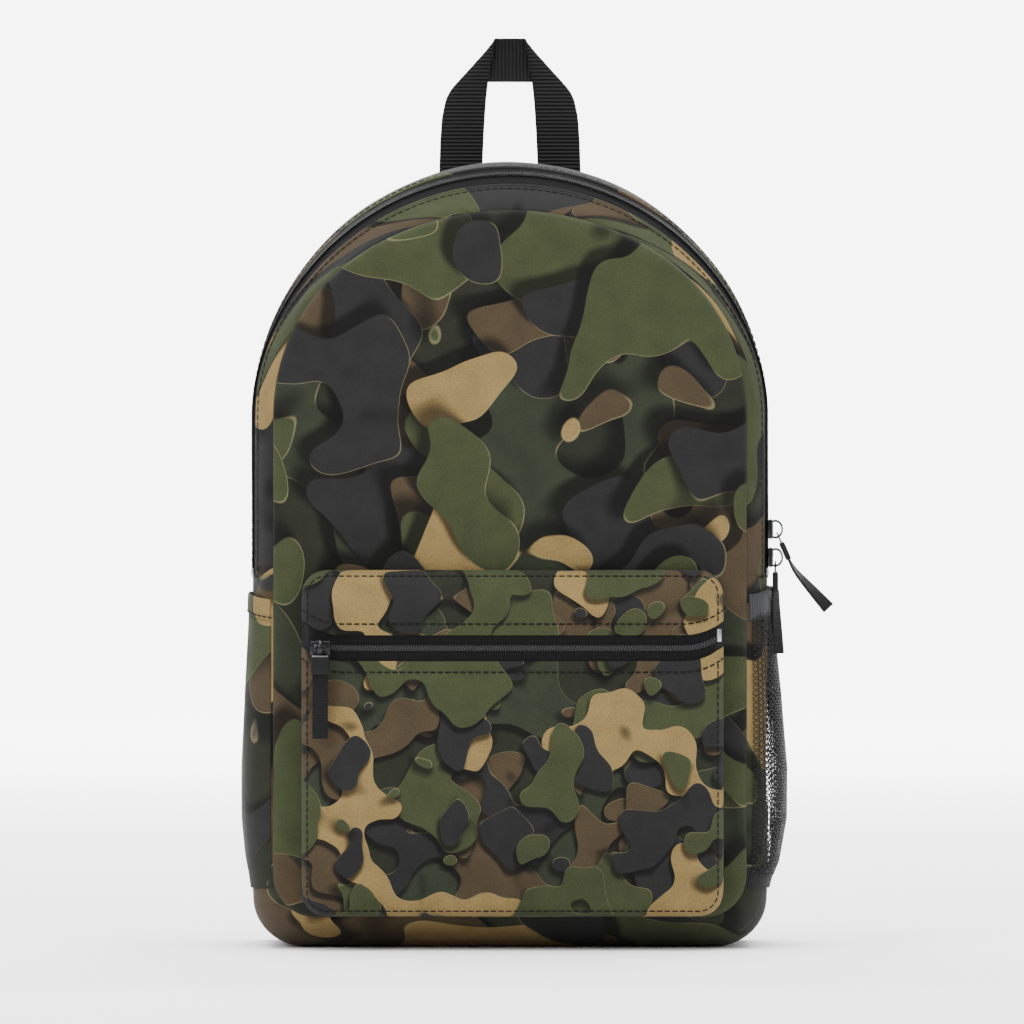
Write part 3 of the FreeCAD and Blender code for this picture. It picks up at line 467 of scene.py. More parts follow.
def rounded_bar(name, length, width, height, bevel, segments=2):
    """A small bar with rounded edges, to be copied."""
    bpy.ops.object.select_all(action="DESELECT")
    bpy.ops.mesh.primitive_cube_add(size=1)
    bar = bpy.context.object
    bar.name = name
    bar.data.transform(Matrix.Diagonal((length, width, height, 1)))
    return apply(bar, "BEVEL", width=bevel, segments=segments)


def stitches(name, line, outside, body, pitch=4.4 * MM, lift=0.2 * MM):
    """A row of thread stitches lying on the cloth along a line."""
    stitch = rounded_bar("stitch", pitch * 0.7, 0.85 * MM, 0.55 * MM, 0.18 * MM, 1)
    points, out = evenly(line, outside, pitch)
    points = points + out * lift
    piece = repeated(name, stitch, frames_along(points, out), THREAD)
    bpy.data.objects.remove(stitch)
    if body:
        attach(piece, body)
    return piece


def strap(name, line, outside, width, thickness, cover, closed=False, edge=0.35):
    """A woven strap swept along a line: outside points away from its face at each point."""
    ahead = np.gradient(line, axis=0)
    if closed:
        ahead = np.roll(line, -1, axis=0) - np.roll(line, 1, axis=0)
    ahead /= np.linalg.norm(ahead, axis=1)[:, None]
    out = outside / np.linalg.norm(outside, axis=1)[:, None]
    side = np.cross(out, ahead)
    side /= np.linalg.norm(side, axis=1)[:, None]
    out = np.cross(ahead, side)
    face = (-0.47, -0.25, 0, 0.25, 0.47)
    profile = [(-0.5, -edge), *((a, -0.5) for a in face), (0.5, -edge),
               (0.5, edge), *((a, 0.5) for a in reversed(face)), (-0.5, edge)]
    grid = np.array([[p + s * width * a + o * thickness * b for a, b in profile]
                     for p, s, o in zip(line, side, out)])
    run = lengths(line)
    marks = np.array([[(d, width * a + (0.1 if b > 0 else 0)) for a, b in profile] for d in run])
    rows, columns = grid.shape[:2]
    if closed:
        grid = np.concatenate((grid, grid[:1]))
        marks = np.concatenate((marks, marks[:1] + (run[-1] + run[1], 0)))
        rows += 1
    faces = grid_faces(rows, columns, True)
    if not closed:
        faces += end_faces(rows, columns)
    piece = mesh_piece(name, grid.reshape(-1, 3), faces, cover)
    map_cloth(piece, marks.reshape(-1, 2))
    if closed:
        apply(piece, "WELD", merge_threshold=0.01 * MM)
    facing_out(piece)
    return smoothed(piece, 50)


def softened(node, name, width, cover, body, segments=2):
    """A copy of a moulded or metal CAD piece with its edges rounded."""
    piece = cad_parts[node].copy()
    piece.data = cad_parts[node].data.copy()
    piece.name = name
    piece.parent = None
    for key in list(piece.keys()):
        del piece[key]
    bpy.context.scene.collection.objects.link(piece)
    piece.data.materials.clear()
    piece.data.materials.append(cover)
    apply(piece, "WELD", merge_threshold=0.01 * MM)
    apply(piece, "DECIMATE", decimate_type="DISSOLVE", angle_limit=math.radians(2))
    apply(piece, "BEVEL", width=width, segments=segments, limit_method="ANGLE", angle_limit=math.radians(30))
    smoothed(piece, 40)
    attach(piece, body)
    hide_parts(node)


# ---------------------------------------------------------------- the body's outline

SIDE_LEVELS = np.concatenate((np.linspace(50, ZIP_END / MM, 24), np.linspace(222, FOLD / MM, 7),
                              np.linspace(271, SPRING / MM, 7))) * MM
BASE_STEPS = 14
CORNER_STEPS = 9
SHOULDER_STEPS = 14
CROWN_STEPS = 26
SIDES_EASE, CROWN_EASE, BASE_EASE = 3.6, 1.7, 2.2  # how late each side fills out behind the seam
CORNER, CORNER_LOSS = 30, 6  # mm: lower corners at full depth, and how much tighter at the seam
SHOULDER, SHOULDER_GAIN = 110.2, 1.6  # mm: the arch's shoulders, and how much wider at the seam


def lower_part(depth):
    """How near a depth is to the front seam, and the body's half width, base and corners there."""
    lead = max(0.0, (FULL_Y - depth) / (FULL_Y - SEAM_Y))
    half = HALF - (HALF - SEAM_HALF) * lead ** SIDES_EASE
    return lead, half, SEAM_BASE * lead ** BASE_EASE, (CORNER - CORNER_LOSS * lead) * MM


def outline(depth, inset=0.0):
    """The body's closed outline at a depth: from the middle of the base round by the left."""
    lead, half, base, corner = lower_part(depth)
    half, base, corner = half - inset, base + inset, corner - inset
    top = CROWN - (CROWN - SEAM_TOP) * lead ** CROWN_EASE - inset
    turn = (SHOULDER + SHOULDER_GAIN * lead) * MM - inset
    rise = top - SPRING
    wide = ((half - turn) ** 2 + rise ** 2 - turn ** 2) / (2 * (rise - turn))
    meet = math.atan2(SPRING - (top - wide), half - turn)
    left = [(-(half - corner) * t, base) for t in np.linspace(0, 1, BASE_STEPS, endpoint=False)]
    left += [(-(half - corner) + corner * math.cos(a), base + corner + corner * math.sin(a))
             for a in np.linspace(1.5 * math.pi, math.pi, CORNER_STEPS)]
    left += [(-half, z) for z in SIDE_LEVELS]
    left += [(-(half - turn) - turn * math.cos(a), SPRING + turn * math.sin(a))
             for a in np.linspace(0, meet, SHOULDER_STEPS)[1:]]
    left += [(-wide * math.cos(a), top - wide + wide * math.sin(a))
             for a in np.linspace(meet, math.pi / 2, CROWN_STEPS)[1:-1]]
    middle = [(0.0, top)]
    right = [(-x, z) for x, z in left[:0:-1]]
    return np.array([(x, depth, z) for x, z in left + middle + right])


FULL = outline(REAR)
COUNT = len(FULL)
LEFT_SPLIT = BASE_STEPS + CORNER_STEPS
LEFT_END = LEFT_SPLIT + 23
TOP_POINT = COUNT // 2
ROUND = lengths(np.concatenate((FULL, FULL[:1])))


def mirrored(index):
    return COUNT - index


def shell(name, depths, first, last, *covers, wall=1.6 * MM, sag=0.0, **more):
    """Cloth round the body between two of the outline's points. depths are pairs: depth and inset."""
    indices = [i % COUNT for i in range(first, last + 1)]
    grid = np.array([outline(depth, inset)[indices] for depth, inset in depths])
    for r in range(1, len(depths) - 1):
        for c in range(len(indices)):
            x, y, z = grid[r, c]
            dent = noise.noise(Vector((x, y, z)) * 14) * sag
            grid[r, c, 0] *= 1 + dent / HALF
            grid[r, c, 2] += dent * np.clip((z - SPRING) / (CROWN - SPRING), 0, 1)
    run = np.array([i / COUNT for i in range(first, last + 1)]) * ROUND[-1]
    across = np.array([depths[0][0] + lengths(grid[:, c]) for c in range(len(indices))]).T
    marks = np.stack((np.tile(run, (len(depths), 1)), across), axis=-1)
    return cloth(name, grid, marks, *covers, wall=wall, **more)


def line_on_body(depth, first, last, lift=0.0):
    """A line round the body at a depth, and the way out at each of its points."""
    indices = [i % COUNT for i in range(first, last + 1)]
    line = outline(depth, -lift)[indices]
    out = outline(depth, -1 * MM)[indices] - outline(depth)[indices]
    nearer = outline(depth - 1 * MM)[indices] - outline(depth + 1 * MM)[indices]
    out = out / np.linalg.norm(out, axis=1)[:, None]
    nearer = nearer / np.linalg.norm(nearer, axis=1)[:, None]
    out = out - nearer * np.sum(out * nearer, axis=1)[:, None]
    return line, out / np.linalg.norm(out, axis=1)[:, None]


def belongs(piece, slot, *nodes, body="pack", flat=None, area=None, held="stretched", on="back_panel"):
    """Fix a finished piece to its body and hide the CAD nodes that it stands for. Its slot is not used.

    With no body its place is baked into its points.
    """
    if body:
        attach(piece, body)
    else:
        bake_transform(piece)
    if nodes:
        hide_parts(*nodes)
    return piece


def hinged(piece, slot, *nodes, **more):
    return belongs(piece, slot, *nodes, body=None, **more)


# ---------------------------------------------------------------- body panels

# Rings of the front panel: the share of the way to its spine, and the height in mm.
PILLOW = ((0, -2.2), (0.006, -0.4), (0.014, 0.8), (0.03, 1.7), (0.055, 2.4), (0.09, 3.0), (0.14, 3.5),
          (0.2, 3.9), (0.28, 4.4), (0.37, 4.8), (0.47, 5.1), (0.58, 5.3), (0.7, 5.4), (0.82, 5.5),
          (0.92, 5.5), (1, 5.5))
FIRST_FOLDED = 4  # the ring from which the front panel is creased


def panel_edge(outer, depth):
    """A panel's edge at a depth, and the upright line in its middle that its rings close on."""
    edge = outer.copy()
    edge[:, 1] = depth
    spine = edge.copy()
    spine[:, 0] = 0
    spine[:, 2] = np.clip(edge[:, 2], *SPINE)
    return edge, spine


def front_panel():
    """The pillowed front, from its seam inwards in rings."""
    edge, spine = panel_edge(outline(SEAM_Y), FRONT)
    grid = np.array([edge + (spine - edge) * share - np.array((0, height * MM, 0)) for share, height in PILLOW])
    for r in range(FIRST_FOLDED, len(PILLOW)):
        for c in range(COUNT):
            x, y, z = grid[r, c]
            grid[r, c, 1] -= noise.noise(Vector((x * 9, 3.1, z * 7))) * 1.6 * MM * min(1, PILLOW[r][0] * 6)
    panel = cloth("front_panel_cloth", grid, grid[:, :, (0, 2)], CAMO, LINING, wall=2 * MM, joined=True,
                  centre=(0, 0.2, 0.22))
    hinged(panel, "camo_fabric", "front_panel_upper", "front_panel_lower", flat=(0.29, 0.43), area=0.108)


front_panel()

# Depth and inset of each row of cloth, from the front seam to the rear one.
GUSSET_ROWS = ((SEAM_Y + 1.4 * MM, 2.6 * MM), (SEAM_Y - 0.2 * MM, 0.9 * MM), (SEAM_Y, -0.3 * MM),
               (SEAM_Y + 1.4 * MM, -0.9 * MM), (SEAM_Y + 4 * MM, -0.9 * MM), (SEAM_Y + 8 * MM, -0.5 * MM),
               (TAPE_FRONT - 2.5 * MM, -0.2 * MM), (TAPE_FRONT - 0.9 * MM, -0.6 * MM), (TAPE_FRONT, -0.6 * MM),
               (TAPE_FRONT + 0.1 * MM, 0.3 * MM))
REAR_ROWS = ((TAPE_REAR - 0.1 * MM, 0.4 * MM), (TAPE_REAR, -0.6 * MM), (TAPE_REAR + 0.9 * MM, -0.6 * MM),
             (TAPE_REAR + 2.5 * MM, -0.1 * MM), *((depth * MM, 0) for depth in (-30, -20, -8, 5, 18, 31, 44)),
             (55 * MM, 0.1 * MM), (62 * MM, 0.4 * MM), (66 * MM, 0.9 * MM), (69.4 * MM, 1.8 * MM))
BODY_ROWS = GUSSET_ROWS[:6] + ((-46 * MM, -0.2 * MM),) + REAR_ROWS[4:]

gusset = shell("front_gusset_cloth", GUSSET_ROWS, LEFT_END, mirrored(LEFT_END), GUSSET_CAMO, LINING,
               sag=0.3 * MM)
hinged(gusset, "camo_fabric", "front_gusset", flat=(0.66, 0.02))
gusset = shell("rear_gusset_cloth", REAR_ROWS, LEFT_END, mirrored(LEFT_END), GUSSET_CAMO, LINING,
               sag=1.2 * MM)
belongs(gusset, "camo_fabric", "rear_gusset", flat=(0.66, 0.11))
for label, first, last in (("left", LEFT_SPLIT, LEFT_END), ("right", mirrored(LEFT_END), mirrored(LEFT_SPLIT))):
    side = shell("side_cloth_" + label, BODY_ROWS, first, last, GUSSET_CAMO, LINING, sag=0.8 * MM)
    belongs(side, "camo_fabric", "side_panel_" + label, flat=(0.17, 0.145))
base = shell("base_cloth", BODY_ROWS, -LEFT_SPLIT, LEFT_SPLIT, GUSSET_CAMO, LINING)
belongs(base, "camo_fabric", "base_panel", flat=(0.37, 0.14))

# The back panel is foam covered in spacer mesh, from the bound seam to its middle.
edge, spine = panel_edge(FULL, REAR - 1.2 * MM)
grid = np.array([edge + (spine - edge) * share for share, _ in PILLOW])
back = cloth("back_panel_cloth", grid, grid[:, :, (0, 2)], SPACER, LINING, wall=1.2 * MM, joined=True,
             centre=(0, -0.2, 0.22))
belongs(back, "spacer_mesh", "back_panel", flat=(0.302, 0.461), area=0.127, on="rear_binding")

binding_line = outline(REAR, 2.6 * MM)
binding_line[:, 2] = np.maximum(binding_line[:, 2], 3.2 * MM)
binding = strap("rear_binding_tape", binding_line + np.array((0, 1.2 * MM, 0)),
                np.tile((0.0, 1.0, 0.0), (COUNT, 1)), 6.4 * MM, 2.4 * MM, BINDING, closed=True, edge=0.1)
belongs(binding, "black_binding", "rear_binding")

# ---------------------------------------------------------------- main zip

front_tape = shell("zip_tape_front", ((TAPE_FRONT - 0.6 * MM, 0.4 * MM), (TAPE_FRONT + 2 * MM, 0.1 * MM),
                                      (TAPE_FRONT + 4 * MM, 0.2 * MM), (ZIP_Y - 1.4 * MM, 0.1 * MM),
                                      (ZIP_Y, 0.1 * MM)),
                   LEFT_END, mirrored(LEFT_END), TAPE, wall=0.6 * MM)
hinged(front_tape, "zip_tape", "main_zip_tape_front")
rear_tape = shell("zip_tape_rear", ((ZIP_Y + 0.1 * MM, 0.1 * MM), (ZIP_Y + 1.4 * MM, 0.1 * MM),
                                    (TAPE_REAR - 4 * MM, 0.2 * MM), (TAPE_REAR - 2 * MM, 0.1 * MM),
                                    (TAPE_REAR + 0.6 * MM, 0.4 * MM)),
                  LEFT_END, mirrored(LEFT_END), TAPE, wall=0.6 * MM)
belongs(rear_tape, "zip_tape", "main_zip_tape_rear", "main_zip_tape_ends")


def coil(name, line, outside, pitch, shift, sideways, cover, length=1.9 * MM):
    """One half of a closed coil zip: slanted loops side by side."""
    loop = rounded_bar("loop", pitch * 0.62, length, 1.15 * MM, pitch * 0.24, 2)
    loop.data.transform(Matrix.Rotation(math.radians(14 * (1 if sideways > 0 else -1)), 4, "Z"))
    points, out = evenly(line, outside, pitch)
    places = [place @ Matrix.Translation((shift, sideways, 0.45 * MM)) for place in frames_along(points, out)]
    piece = repeated(name, loop, places, cover)
    bpy.data.objects.remove(loop)
    return piece


COIL_PITCH = 1.5 * MM
zip_line, zip_out = line_on_body(ZIP_Y, LEFT_END + 1, mirrored(LEFT_END + 1))
front_coil = coil("zip_coil_front", zip_line, zip_out, COIL_PITCH, 0, -0.75 * MM, COIL)
hinged(front_coil, "zip_coil", "main_zip_teeth_front")
rear_coil = coil("zip_coil_rear", zip_line, zip_out, COIL_PITCH, COIL_PITCH / 2, 0.75 * MM, COIL)
belongs(rear_coil, "zip_coil", "main_zip_teeth_rear", "main_zip_teeth_ends")


def set_stop(stop, place, *nodes):
    """Put a bright zip stop in its place."""
    stop.data.transform(place)
    stop.data.materials.append(STEEL)
    belongs(smoothed(stop, 40), "bare_steel", *nodes)


for label, sign in SIDES:
    index = LEFT_END if sign < 0 else mirrored(LEFT_END)
    stop = rounded_bar("zip_stop_" + label, 4.4 * MM, 4.2 * MM, 1.5 * MM, 0.5 * MM, 3)
    turn = frames_along(*line_on_body(ZIP_Y, index - 1, index + 1))[1]
    set_stop(stop, turn @ Matrix.Translation((-sign * 2.2 * MM, 0, 0.6 * MM)),
             *(("main_zip_stops",) if sign < 0 else ()))

line, out = line_on_body(TAPE_FRONT - 2.9 * MM, LEFT_END, mirrored(LEFT_END), 0.2 * MM)
hinged(stitches("gusset_stitches_front", line, out, None), "black_binding")
line, out = line_on_body(TAPE_REAR + 2.9 * MM, LEFT_END, mirrored(LEFT_END))
stitches("gusset_stitches_rear", line, out, "pack")

# ---------------------------------------------------------------- front pocket

POCKET_CORNER = 14 * MM
POCKET_FLAT, POCKET_WRAP, POCKET_CLIMB = 98 * MM, 25 * MM, 8.5 * MM
# Inset and height in mm of each ring of the pocket's face, from its seam inwards.
POCKET_PROFILE = ((-0.3, -1.5), (0, 2), (-0.4, 7), (-0.2, 12), (0.6, 15.6), (2.0, 18.6), (3.4, 20.1),
                  (4.4, 21.3), (6.6, 22.3), (9.5, 22.8), (14, 23.4), (20, 24.1), (28, 24.8), (37, 25.3),
                  (47, 25.7), (58, 26), (72, 26.3), (86, 26.5), (100.4, 26.6))
WALL_RINGS = 4  # the first rings, which stand up as the pocket's wall


def pocket_rise(x):
    """How far the pocket's seams and zip climb where they wrap its ends."""
    middle = (POCKET_LOW.x + POCKET_HIGH.x) / 2
    reach = np.clip((abs(x - middle) - POCKET_FLAT) / POCKET_WRAP, 0, 1)
    return POCKET_CLIMB * reach ** 2.2


def pocket_ring(inset, proud):
    """A rounded oblong inside the pocket's outline."""
    low_x, high_x = POCKET_LOW.x + inset, POCKET_HIGH.x - inset
    low_z, high_z = POCKET_LOW.z + inset, POCKET_HIGH.z - inset
    corner = min(max(POCKET_CORNER - inset, 2.5 * MM), (high_z - low_z) / 2)
    left, right, foot, head = low_x + corner, high_x - corner, low_z + corner, high_z - corner
    points = []
    for x, z, start in ((left, foot, 180), (right, foot, 270), (right, head, 0), (left, head, 90)):
        points.append([(x + corner * math.cos(math.radians(a)), z + corner * math.sin(math.radians(a)))
                       for a in np.linspace(start, start + 90, 7)])
    ring = []
    for number, (turned, following) in enumerate(zip(points, points[1:] + points[:1])):
        ring += turned
        (from_x, from_z), (to_x, to_z) = turned[-1], following[0]
        ring += [(from_x + (to_x - from_x) * t, from_z + (to_z - from_z) * t)
                 for t in np.linspace(0, 1, 34 if number % 2 == 0 else 26)[1:-1]]
    return np.array([(x, FRONT - proud, z) for x, z in ring])


def hump(z, rise, middle, reach):
    """A soft swelling about a height."""
    return rise * math.exp(-((z - middle) / reach) ** 2)


def pocket_shape():
    """The pocket's whole face: sewn round its edge, fullest below the zip, drawn in along it."""
    grid = np.array([pocket_ring(inset * MM, proud * MM) for inset, proud in POCKET_PROFILE])
    zip_z = sum(POCKET_TAPE) / 2
    for r, (inset, proud) in enumerate(POCKET_PROFILE):
        if inset < 4:
            continue
        hold = min(1, (inset - 3) / 22)
        for c in range(grid.shape[1]):
            x, y, z = grid[r, c]
            belly = hump(z, 4.2 * MM, 88 * MM, 48 * MM)
            crown = hump(z, 1.2 * MM, 202 * MM, 14 * MM)
            waist = hump(z, 2.6 * MM, zip_z, 20 * MM)
            fold = noise.noise(Vector((x * 16, 5.2, z * 11))) * 1.5 * MM
            fold *= 1 - math.exp(-((z - zip_z) / (22 * MM)) ** 4)
            grid[r, c, 1] -= hold * (belly + crown - waist + fold)
    return grid


POCKET_GRID = pocket_shape()


def pocket_marks():
    """Places on the pocket's cloth: as seen from the front, with its wall laid out flat round the face."""
    marks = POCKET_GRID[:, :, (0, 2)].copy()
    away = np.sign(POCKET_GRID[0][:, (0, 2)] - (0, 0.12))
    for r in range(WALL_RINGS):
        step = POCKET_GRID[r] - POCKET_GRID[WALL_RINGS]
        marks[r] += step[:, (0, 2)] + away * 0.5 * step[:, 1:2]
    return marks


POCKET_MARKS = pocket_marks()


def pocket_piece(name, cover, low, high, drawn_in, wall):
    """The part of the pocket's face between two heights."""
    piece = cloth(name, POCKET_GRID, POCKET_MARKS, cover, wall=0, joined=True, centre=(0, 0.2, 0.12))
    for vertex in piece.data.vertices:
        vertex.co.z -= pocket_rise(vertex.co.x)
        vertex.co.y += drawn_in
    chosen_only(piece)
    bpy.ops.object.mode_set(mode="EDIT")
    for height, up in ((low, False), (high, True)):
        bpy.ops.mesh.select_all(action="SELECT")
        bpy.ops.mesh.bisect(plane_co=(0, 0, height), plane_no=(0, 0, 1), clear_inner=not up, clear_outer=up)
    bpy.ops.object.mode_set(mode="OBJECT")
    for vertex in piece.data.vertices:
        vertex.co.z += pocket_rise(vertex.co.x)
    piece.data.materials.append(LINING)
    apply(piece, "SOLIDIFY", thickness=wall, offset=-1.0, material_offset=1)
    return smoothed(piece, 60)


pocket_top = pocket_piece("pocket_top_cloth", POCKET_CAMO, POCKET_TAPE[1], 0.3, 0, 1.5 * MM)
belongs(pocket_top, "pocket_fabric", "pocket_upper_panel", flat=(0.275, 0.055))
pocket_low = pocket_piece("pocket_low_cloth", POCKET_CAMO, -0.1, POCKET_TAPE[0], 0, 1.5 * MM)
belongs(pocket_low, "pocket_fabric", "pocket_lower_panel", flat=(0.29, 0.18))
pocket_tape = pocket_piece("pocket_tape_cloth", TAPE, POCKET_TAPE[0] - 2 * MM, POCKET_TAPE[1] + 2 * MM,
                           1.4 * MM, 0.5 * MM)
belongs(pocket_tape, "zip_tape", "pocket_zip_tape", flat=(0.29, 0.019))


def laid_on(piece, path):
    """Points of a path in X and Z, dropped onto the front of a piece, with the way out at each."""
    line = []
    outside = []
    for x, z in path:
        hit, place, normal, face = piece.ray_cast(Vector((x, -0.3, z)), Vector((0, 1, 0)))
        if hit and normal.y < 0:
            line.append(place)
            outside.append(normal)
    return np.array(line), np.array(outside)


ring = pocket_ring(3.3 * MM, 0)
high_part = [(x, z) for x, y, z in ring if z > POCKET_TAPE[1] + 9 * MM]
high_part.sort(key=lambda point: math.atan2(point[1] - 0.15, point[0] - 0.0015), reverse=True)
stitches("pocket_stitches_crown", *laid_on(pocket_top, high_part), "pack")
low_part = [(x, z) for x, y, z in ring if z < POCKET_TAPE[0] + 2 * MM and (abs(x) > 0.11 or z < 0.15)]
low_part.sort(key=lambda point: (math.atan2(point[1] - 0.19, point[0] - 0.0015) + 2 * math.pi) % (2 * math.pi))
stitches("pocket_stitches_foot", *laid_on(pocket_low, low_part), "pack")
for name, face, height in (("upper", pocket_top, POCKET_TAPE[1] + 6.5 * MM),
                           ("lower", pocket_low, POCKET_TAPE[0] - 6.5 * MM)):
    ends = POCKET_LOW.x + 1 * MM, POCKET_HIGH.x - 1 * MM
    row = [(x, height + pocket_rise(x)) for x in np.linspace(*ends, 120)]
    stitches("pocket_stitches_" + name, *laid_on(face, row), "pack")

teeth_low, teeth_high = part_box("pocket_zip_teeth")
teeth_z = (teeth_low.z + teeth_high.z) / 2
row = [(x, teeth_z + pocket_rise(x)) for x in np.linspace(teeth_low.x, teeth_high.x + 1 * MM, 200)]
line, out = laid_on(pocket_tape, row)
for name, shift, sideways in (("upper", 0, 0.78 * MM), ("lower", 0.75 * MM, -0.78 * MM)):
    half = coil("pocket_coil_" + name, line, out, COIL_PITCH, shift, sideways, BRIGHT_COIL, 1.8 * MM)
    belongs(half, "zip_coil", *(("pocket_zip_teeth",) if name == "upper" else ()))

stop_low, stop_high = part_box("pocket_zip_stop")
stop = rounded_bar("pocket_stop_clip", 3.2 * MM, 1.6 * MM, 7.6 * MM, 0.5 * MM, 3)
line, out = laid_on(pocket_tape, [((stop_low.x + stop_high.x) / 2, teeth_z + pocket_rise(stop_high.x))])
turn = Vector(out[0]).to_track_quat("-Y", "Z").to_matrix().to_4x4()
set_stop(stop, Matrix.Translation(line[0] + out[0] * 0.5 * MM) @ turn, "pocket_zip_stop")

# ---------------------------------------------------------------- side pockets


def body_x(depth, height):
    """Half width of the body at a depth and a height below the arch."""
    _, half, base, corner = lower_part(depth)
    below = max(0.0, base + corner - height)
    return half - corner + math.sqrt(max(0, corner ** 2 - min(below, corner) ** 2))


# A side pocket's fullness at heights in mm.
FULLNESS = ((36, 50, 75, 105, 150, 190, 215), (0.04, 0.55, 0.95, 1.0, 0.72, 0.34, 0.22))


def pocket_side(sign, bulge, depth, height, proud):
    """A point of a side pocket, bulging out from the side panel."""
    share = np.clip((depth - SEAM_Y) / (SIDE_REAR - SEAM_Y), 0, 1)
    swell = bulge * math.sin(math.pi * share ** 0.9) ** 0.75 * np.interp(height / MM, *FULLNESS)
    crease = noise.noise(Vector((sign * 2.0, depth * 22, height * 9))) * 1.3 * MM * min(1, swell / (2 * MM))
    return (sign * (body_x(depth, height) + proud + swell + crease), depth, height)


POCKET_DEPTHS = np.concatenate(((SEAM_Y + 0.3 * MM, SEAM_Y + 1.5 * MM),
                                np.linspace(SEAM_Y + 5 * MM, SIDE_REAR - 3 * MM, 26),
                                (SIDE_REAR - 1 * MM, SIDE_REAR)))


def top_of(sign, depth):
    """Height of a side pocket's mouth: lower at the front seam."""
    rise = min(1, (depth - SEAM_Y) / (26 * MM))
    dip, lift = (4, 0) if sign < 0 else (1, 3.5)
    return SIDE_TOP - dip * MM * (1 - rise) + lift * MM * rise


def side_cloth(name, rows, cover, wall):
    """Cloth of a side pocket from its rows of points."""
    grid = np.array(rows)
    return cloth(name, grid, grid[:, :, (1, 2)], cover, LINING, wall=wall)


def hem_sheet(name, sign, bulge, height, proud, cover, wall):
    """The rolled band along a side pocket's mouth."""
    rows = [[pocket_side(sign, bulge, y, top_of(sign, y) - height * (1 - t), proud + more * MM)
             for y in POCKET_DEPTHS]
            for t, more in ((0, -0.5), (0.04, 0), (0.3, 0.15), (0.6, 0.15), (0.9, 0.05), (1, -0.3))]
    return side_cloth(name, rows, cover, wall)


SLIP_BULGE = 6.6 * MM
NET_BULGE = 11 * MM
HEM = 12 * MM
rows = [[pocket_side(-1, SLIP_BULGE, y, SIDE_BASE + (top_of(-1, y) - (HEM - 1 * MM) - SIDE_BASE) * t, 0.9 * MM)
         for y in POCKET_DEPTHS] for t in np.linspace(0, 1, 22)]
slip = side_cloth("slip_pocket_cloth", rows, GUSSET_CAMO, 0.8 * MM)
belongs(slip, "camo_fabric", "slip_pocket", flat=(0.13, 0.165), on="side_panel_left", held="hung")
hem = hem_sheet("slip_hem_cloth", -1, SLIP_BULGE, HEM, 1.5 * MM, GUSSET_CAMO, 1.2 * MM)
belongs(hem, "camo_fabric", "slip_pocket_hem", flat=(0.13, 0.012), on="side_panel_left", held="hung")
line = np.array([pocket_side(-1, SLIP_BULGE, y, top_of(-1, y) - HEM + 1.5 * MM, 1.6 * MM)
                 for y in POCKET_DEPTHS])
stitches("slip_stitches", line, np.tile((-1.0, -0.12, 0.0), (len(line), 1)), "pack", lift=0.1 * MM)

band = hem_sheet("mesh_band_cloth", 1, NET_BULGE, 16 * MM, 1.3 * MM, ELASTIC, 1.4 * MM)
belongs(band, "black_binding", "mesh_pocket_elastic", flat=(0.13, 0.016), on="side_panel_right")
TRIM_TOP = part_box("mesh_pocket_trim")[1].z
rows = [[pocket_side(1, NET_BULGE, y, z, 1.1 * MM) for y in POCKET_DEPTHS]
        for z in np.linspace(SIDE_BASE, TRIM_TOP - 1 * MM, 5)]
trim = side_cloth("mesh_trim_cloth", rows, BINDING, 1.2 * MM)
belongs(trim, "black_binding", "mesh_pocket_trim", flat=(0.13, 0.011), on="side_panel_right")


def net():
    """Knitted net: six-sided holes in staggered columns, with the threads left between them."""
    across, up = 2.5 * MM, 3.5 * MM
    half, slant, tip = across / 2, up * 0.28, up * 0.5
    hole = ((-half, slant), (0, tip), (half, slant), (half, -slant), (0, -tip), (-half, -slant))
    columns = int((SIDE_REAR - SEAM_Y) / across)
    points = {}
    order = []
    faces = []

    def corner(y, z):
        key = (round(y / MM, 3), round(z / MM, 3))
        if key not in points:
            points[key] = len(order)
            order.append(key)
        return points[key]

    for column in range(columns):
        y = SEAM_Y + 1.6 * MM + (column + 0.5) * across
        z = TRIM_TOP - 3 * MM + (up / 2 if column % 2 else 0)
        while z < top_of(1, y) - 13 * MM:
            faces.append([corner(y + out, z + rise) for out, rise in hole])
            z += up
    places = [pocket_side(1, NET_BULGE, y * MM, z * MM, 1.1 * MM) for y, z in order]
    piece = mesh_piece("mesh_net", places, faces, NET)
    chosen_only(piece)
    bpy.ops.object.mode_set(mode="EDIT")
    bpy.ops.mesh.select_mode(type="FACE")
    bpy.ops.mesh.select_all(action="SELECT")
    bpy.ops.mesh.normals_make_consistent(inside=False)
    bpy.ops.mesh.inset(thickness=0.42 * MM, use_individual=True)
    bpy.ops.mesh.delete(type="FACE")
    bpy.ops.object.mode_set(mode="OBJECT")
    apply(piece, "SOLIDIFY", thickness=0.35 * MM, offset=0.0)
    return smoothed(piece)


# The net's cut tapers, and its flat area counts the holes as cloth.
belongs(net(), "black_mesh", "mesh_pocket", flat=(0.13, 0.15), area=0.0163, on="side_panel_right")

# ---------------------------------------------------------------- sliders and pulls


def joined(name, *shapes):
    """Several shapes made one piece."""
    chosen_only(shapes[0])
    for shape in shapes[1:]:
        shape.select_set(True)
    bpy.ops.object.join()
    shapes[0].name = name
    return shapes[0]


def boss(shape, normal, inset, rise):
    """Raise the middle of the face that looks one way."""
    chosen_only(shape)
    for face in shape.data.polygons:
        face.select = face.normal.dot(Vector(normal)) > 0.99
    bpy.ops.object.mode_set(mode="EDIT")
    bpy.ops.mesh.select_mode(type="FACE")
    bpy.ops.mesh.inset(thickness=inset)
    bpy.ops.mesh.extrude_region_move(TRANSFORM_OT_translate={"value": tuple(rise * n for n in normal)})
    bpy.ops.transform.resize(value=(0.8, 0.8, 0.8))
    bpy.ops.object.mode_set(mode="OBJECT")


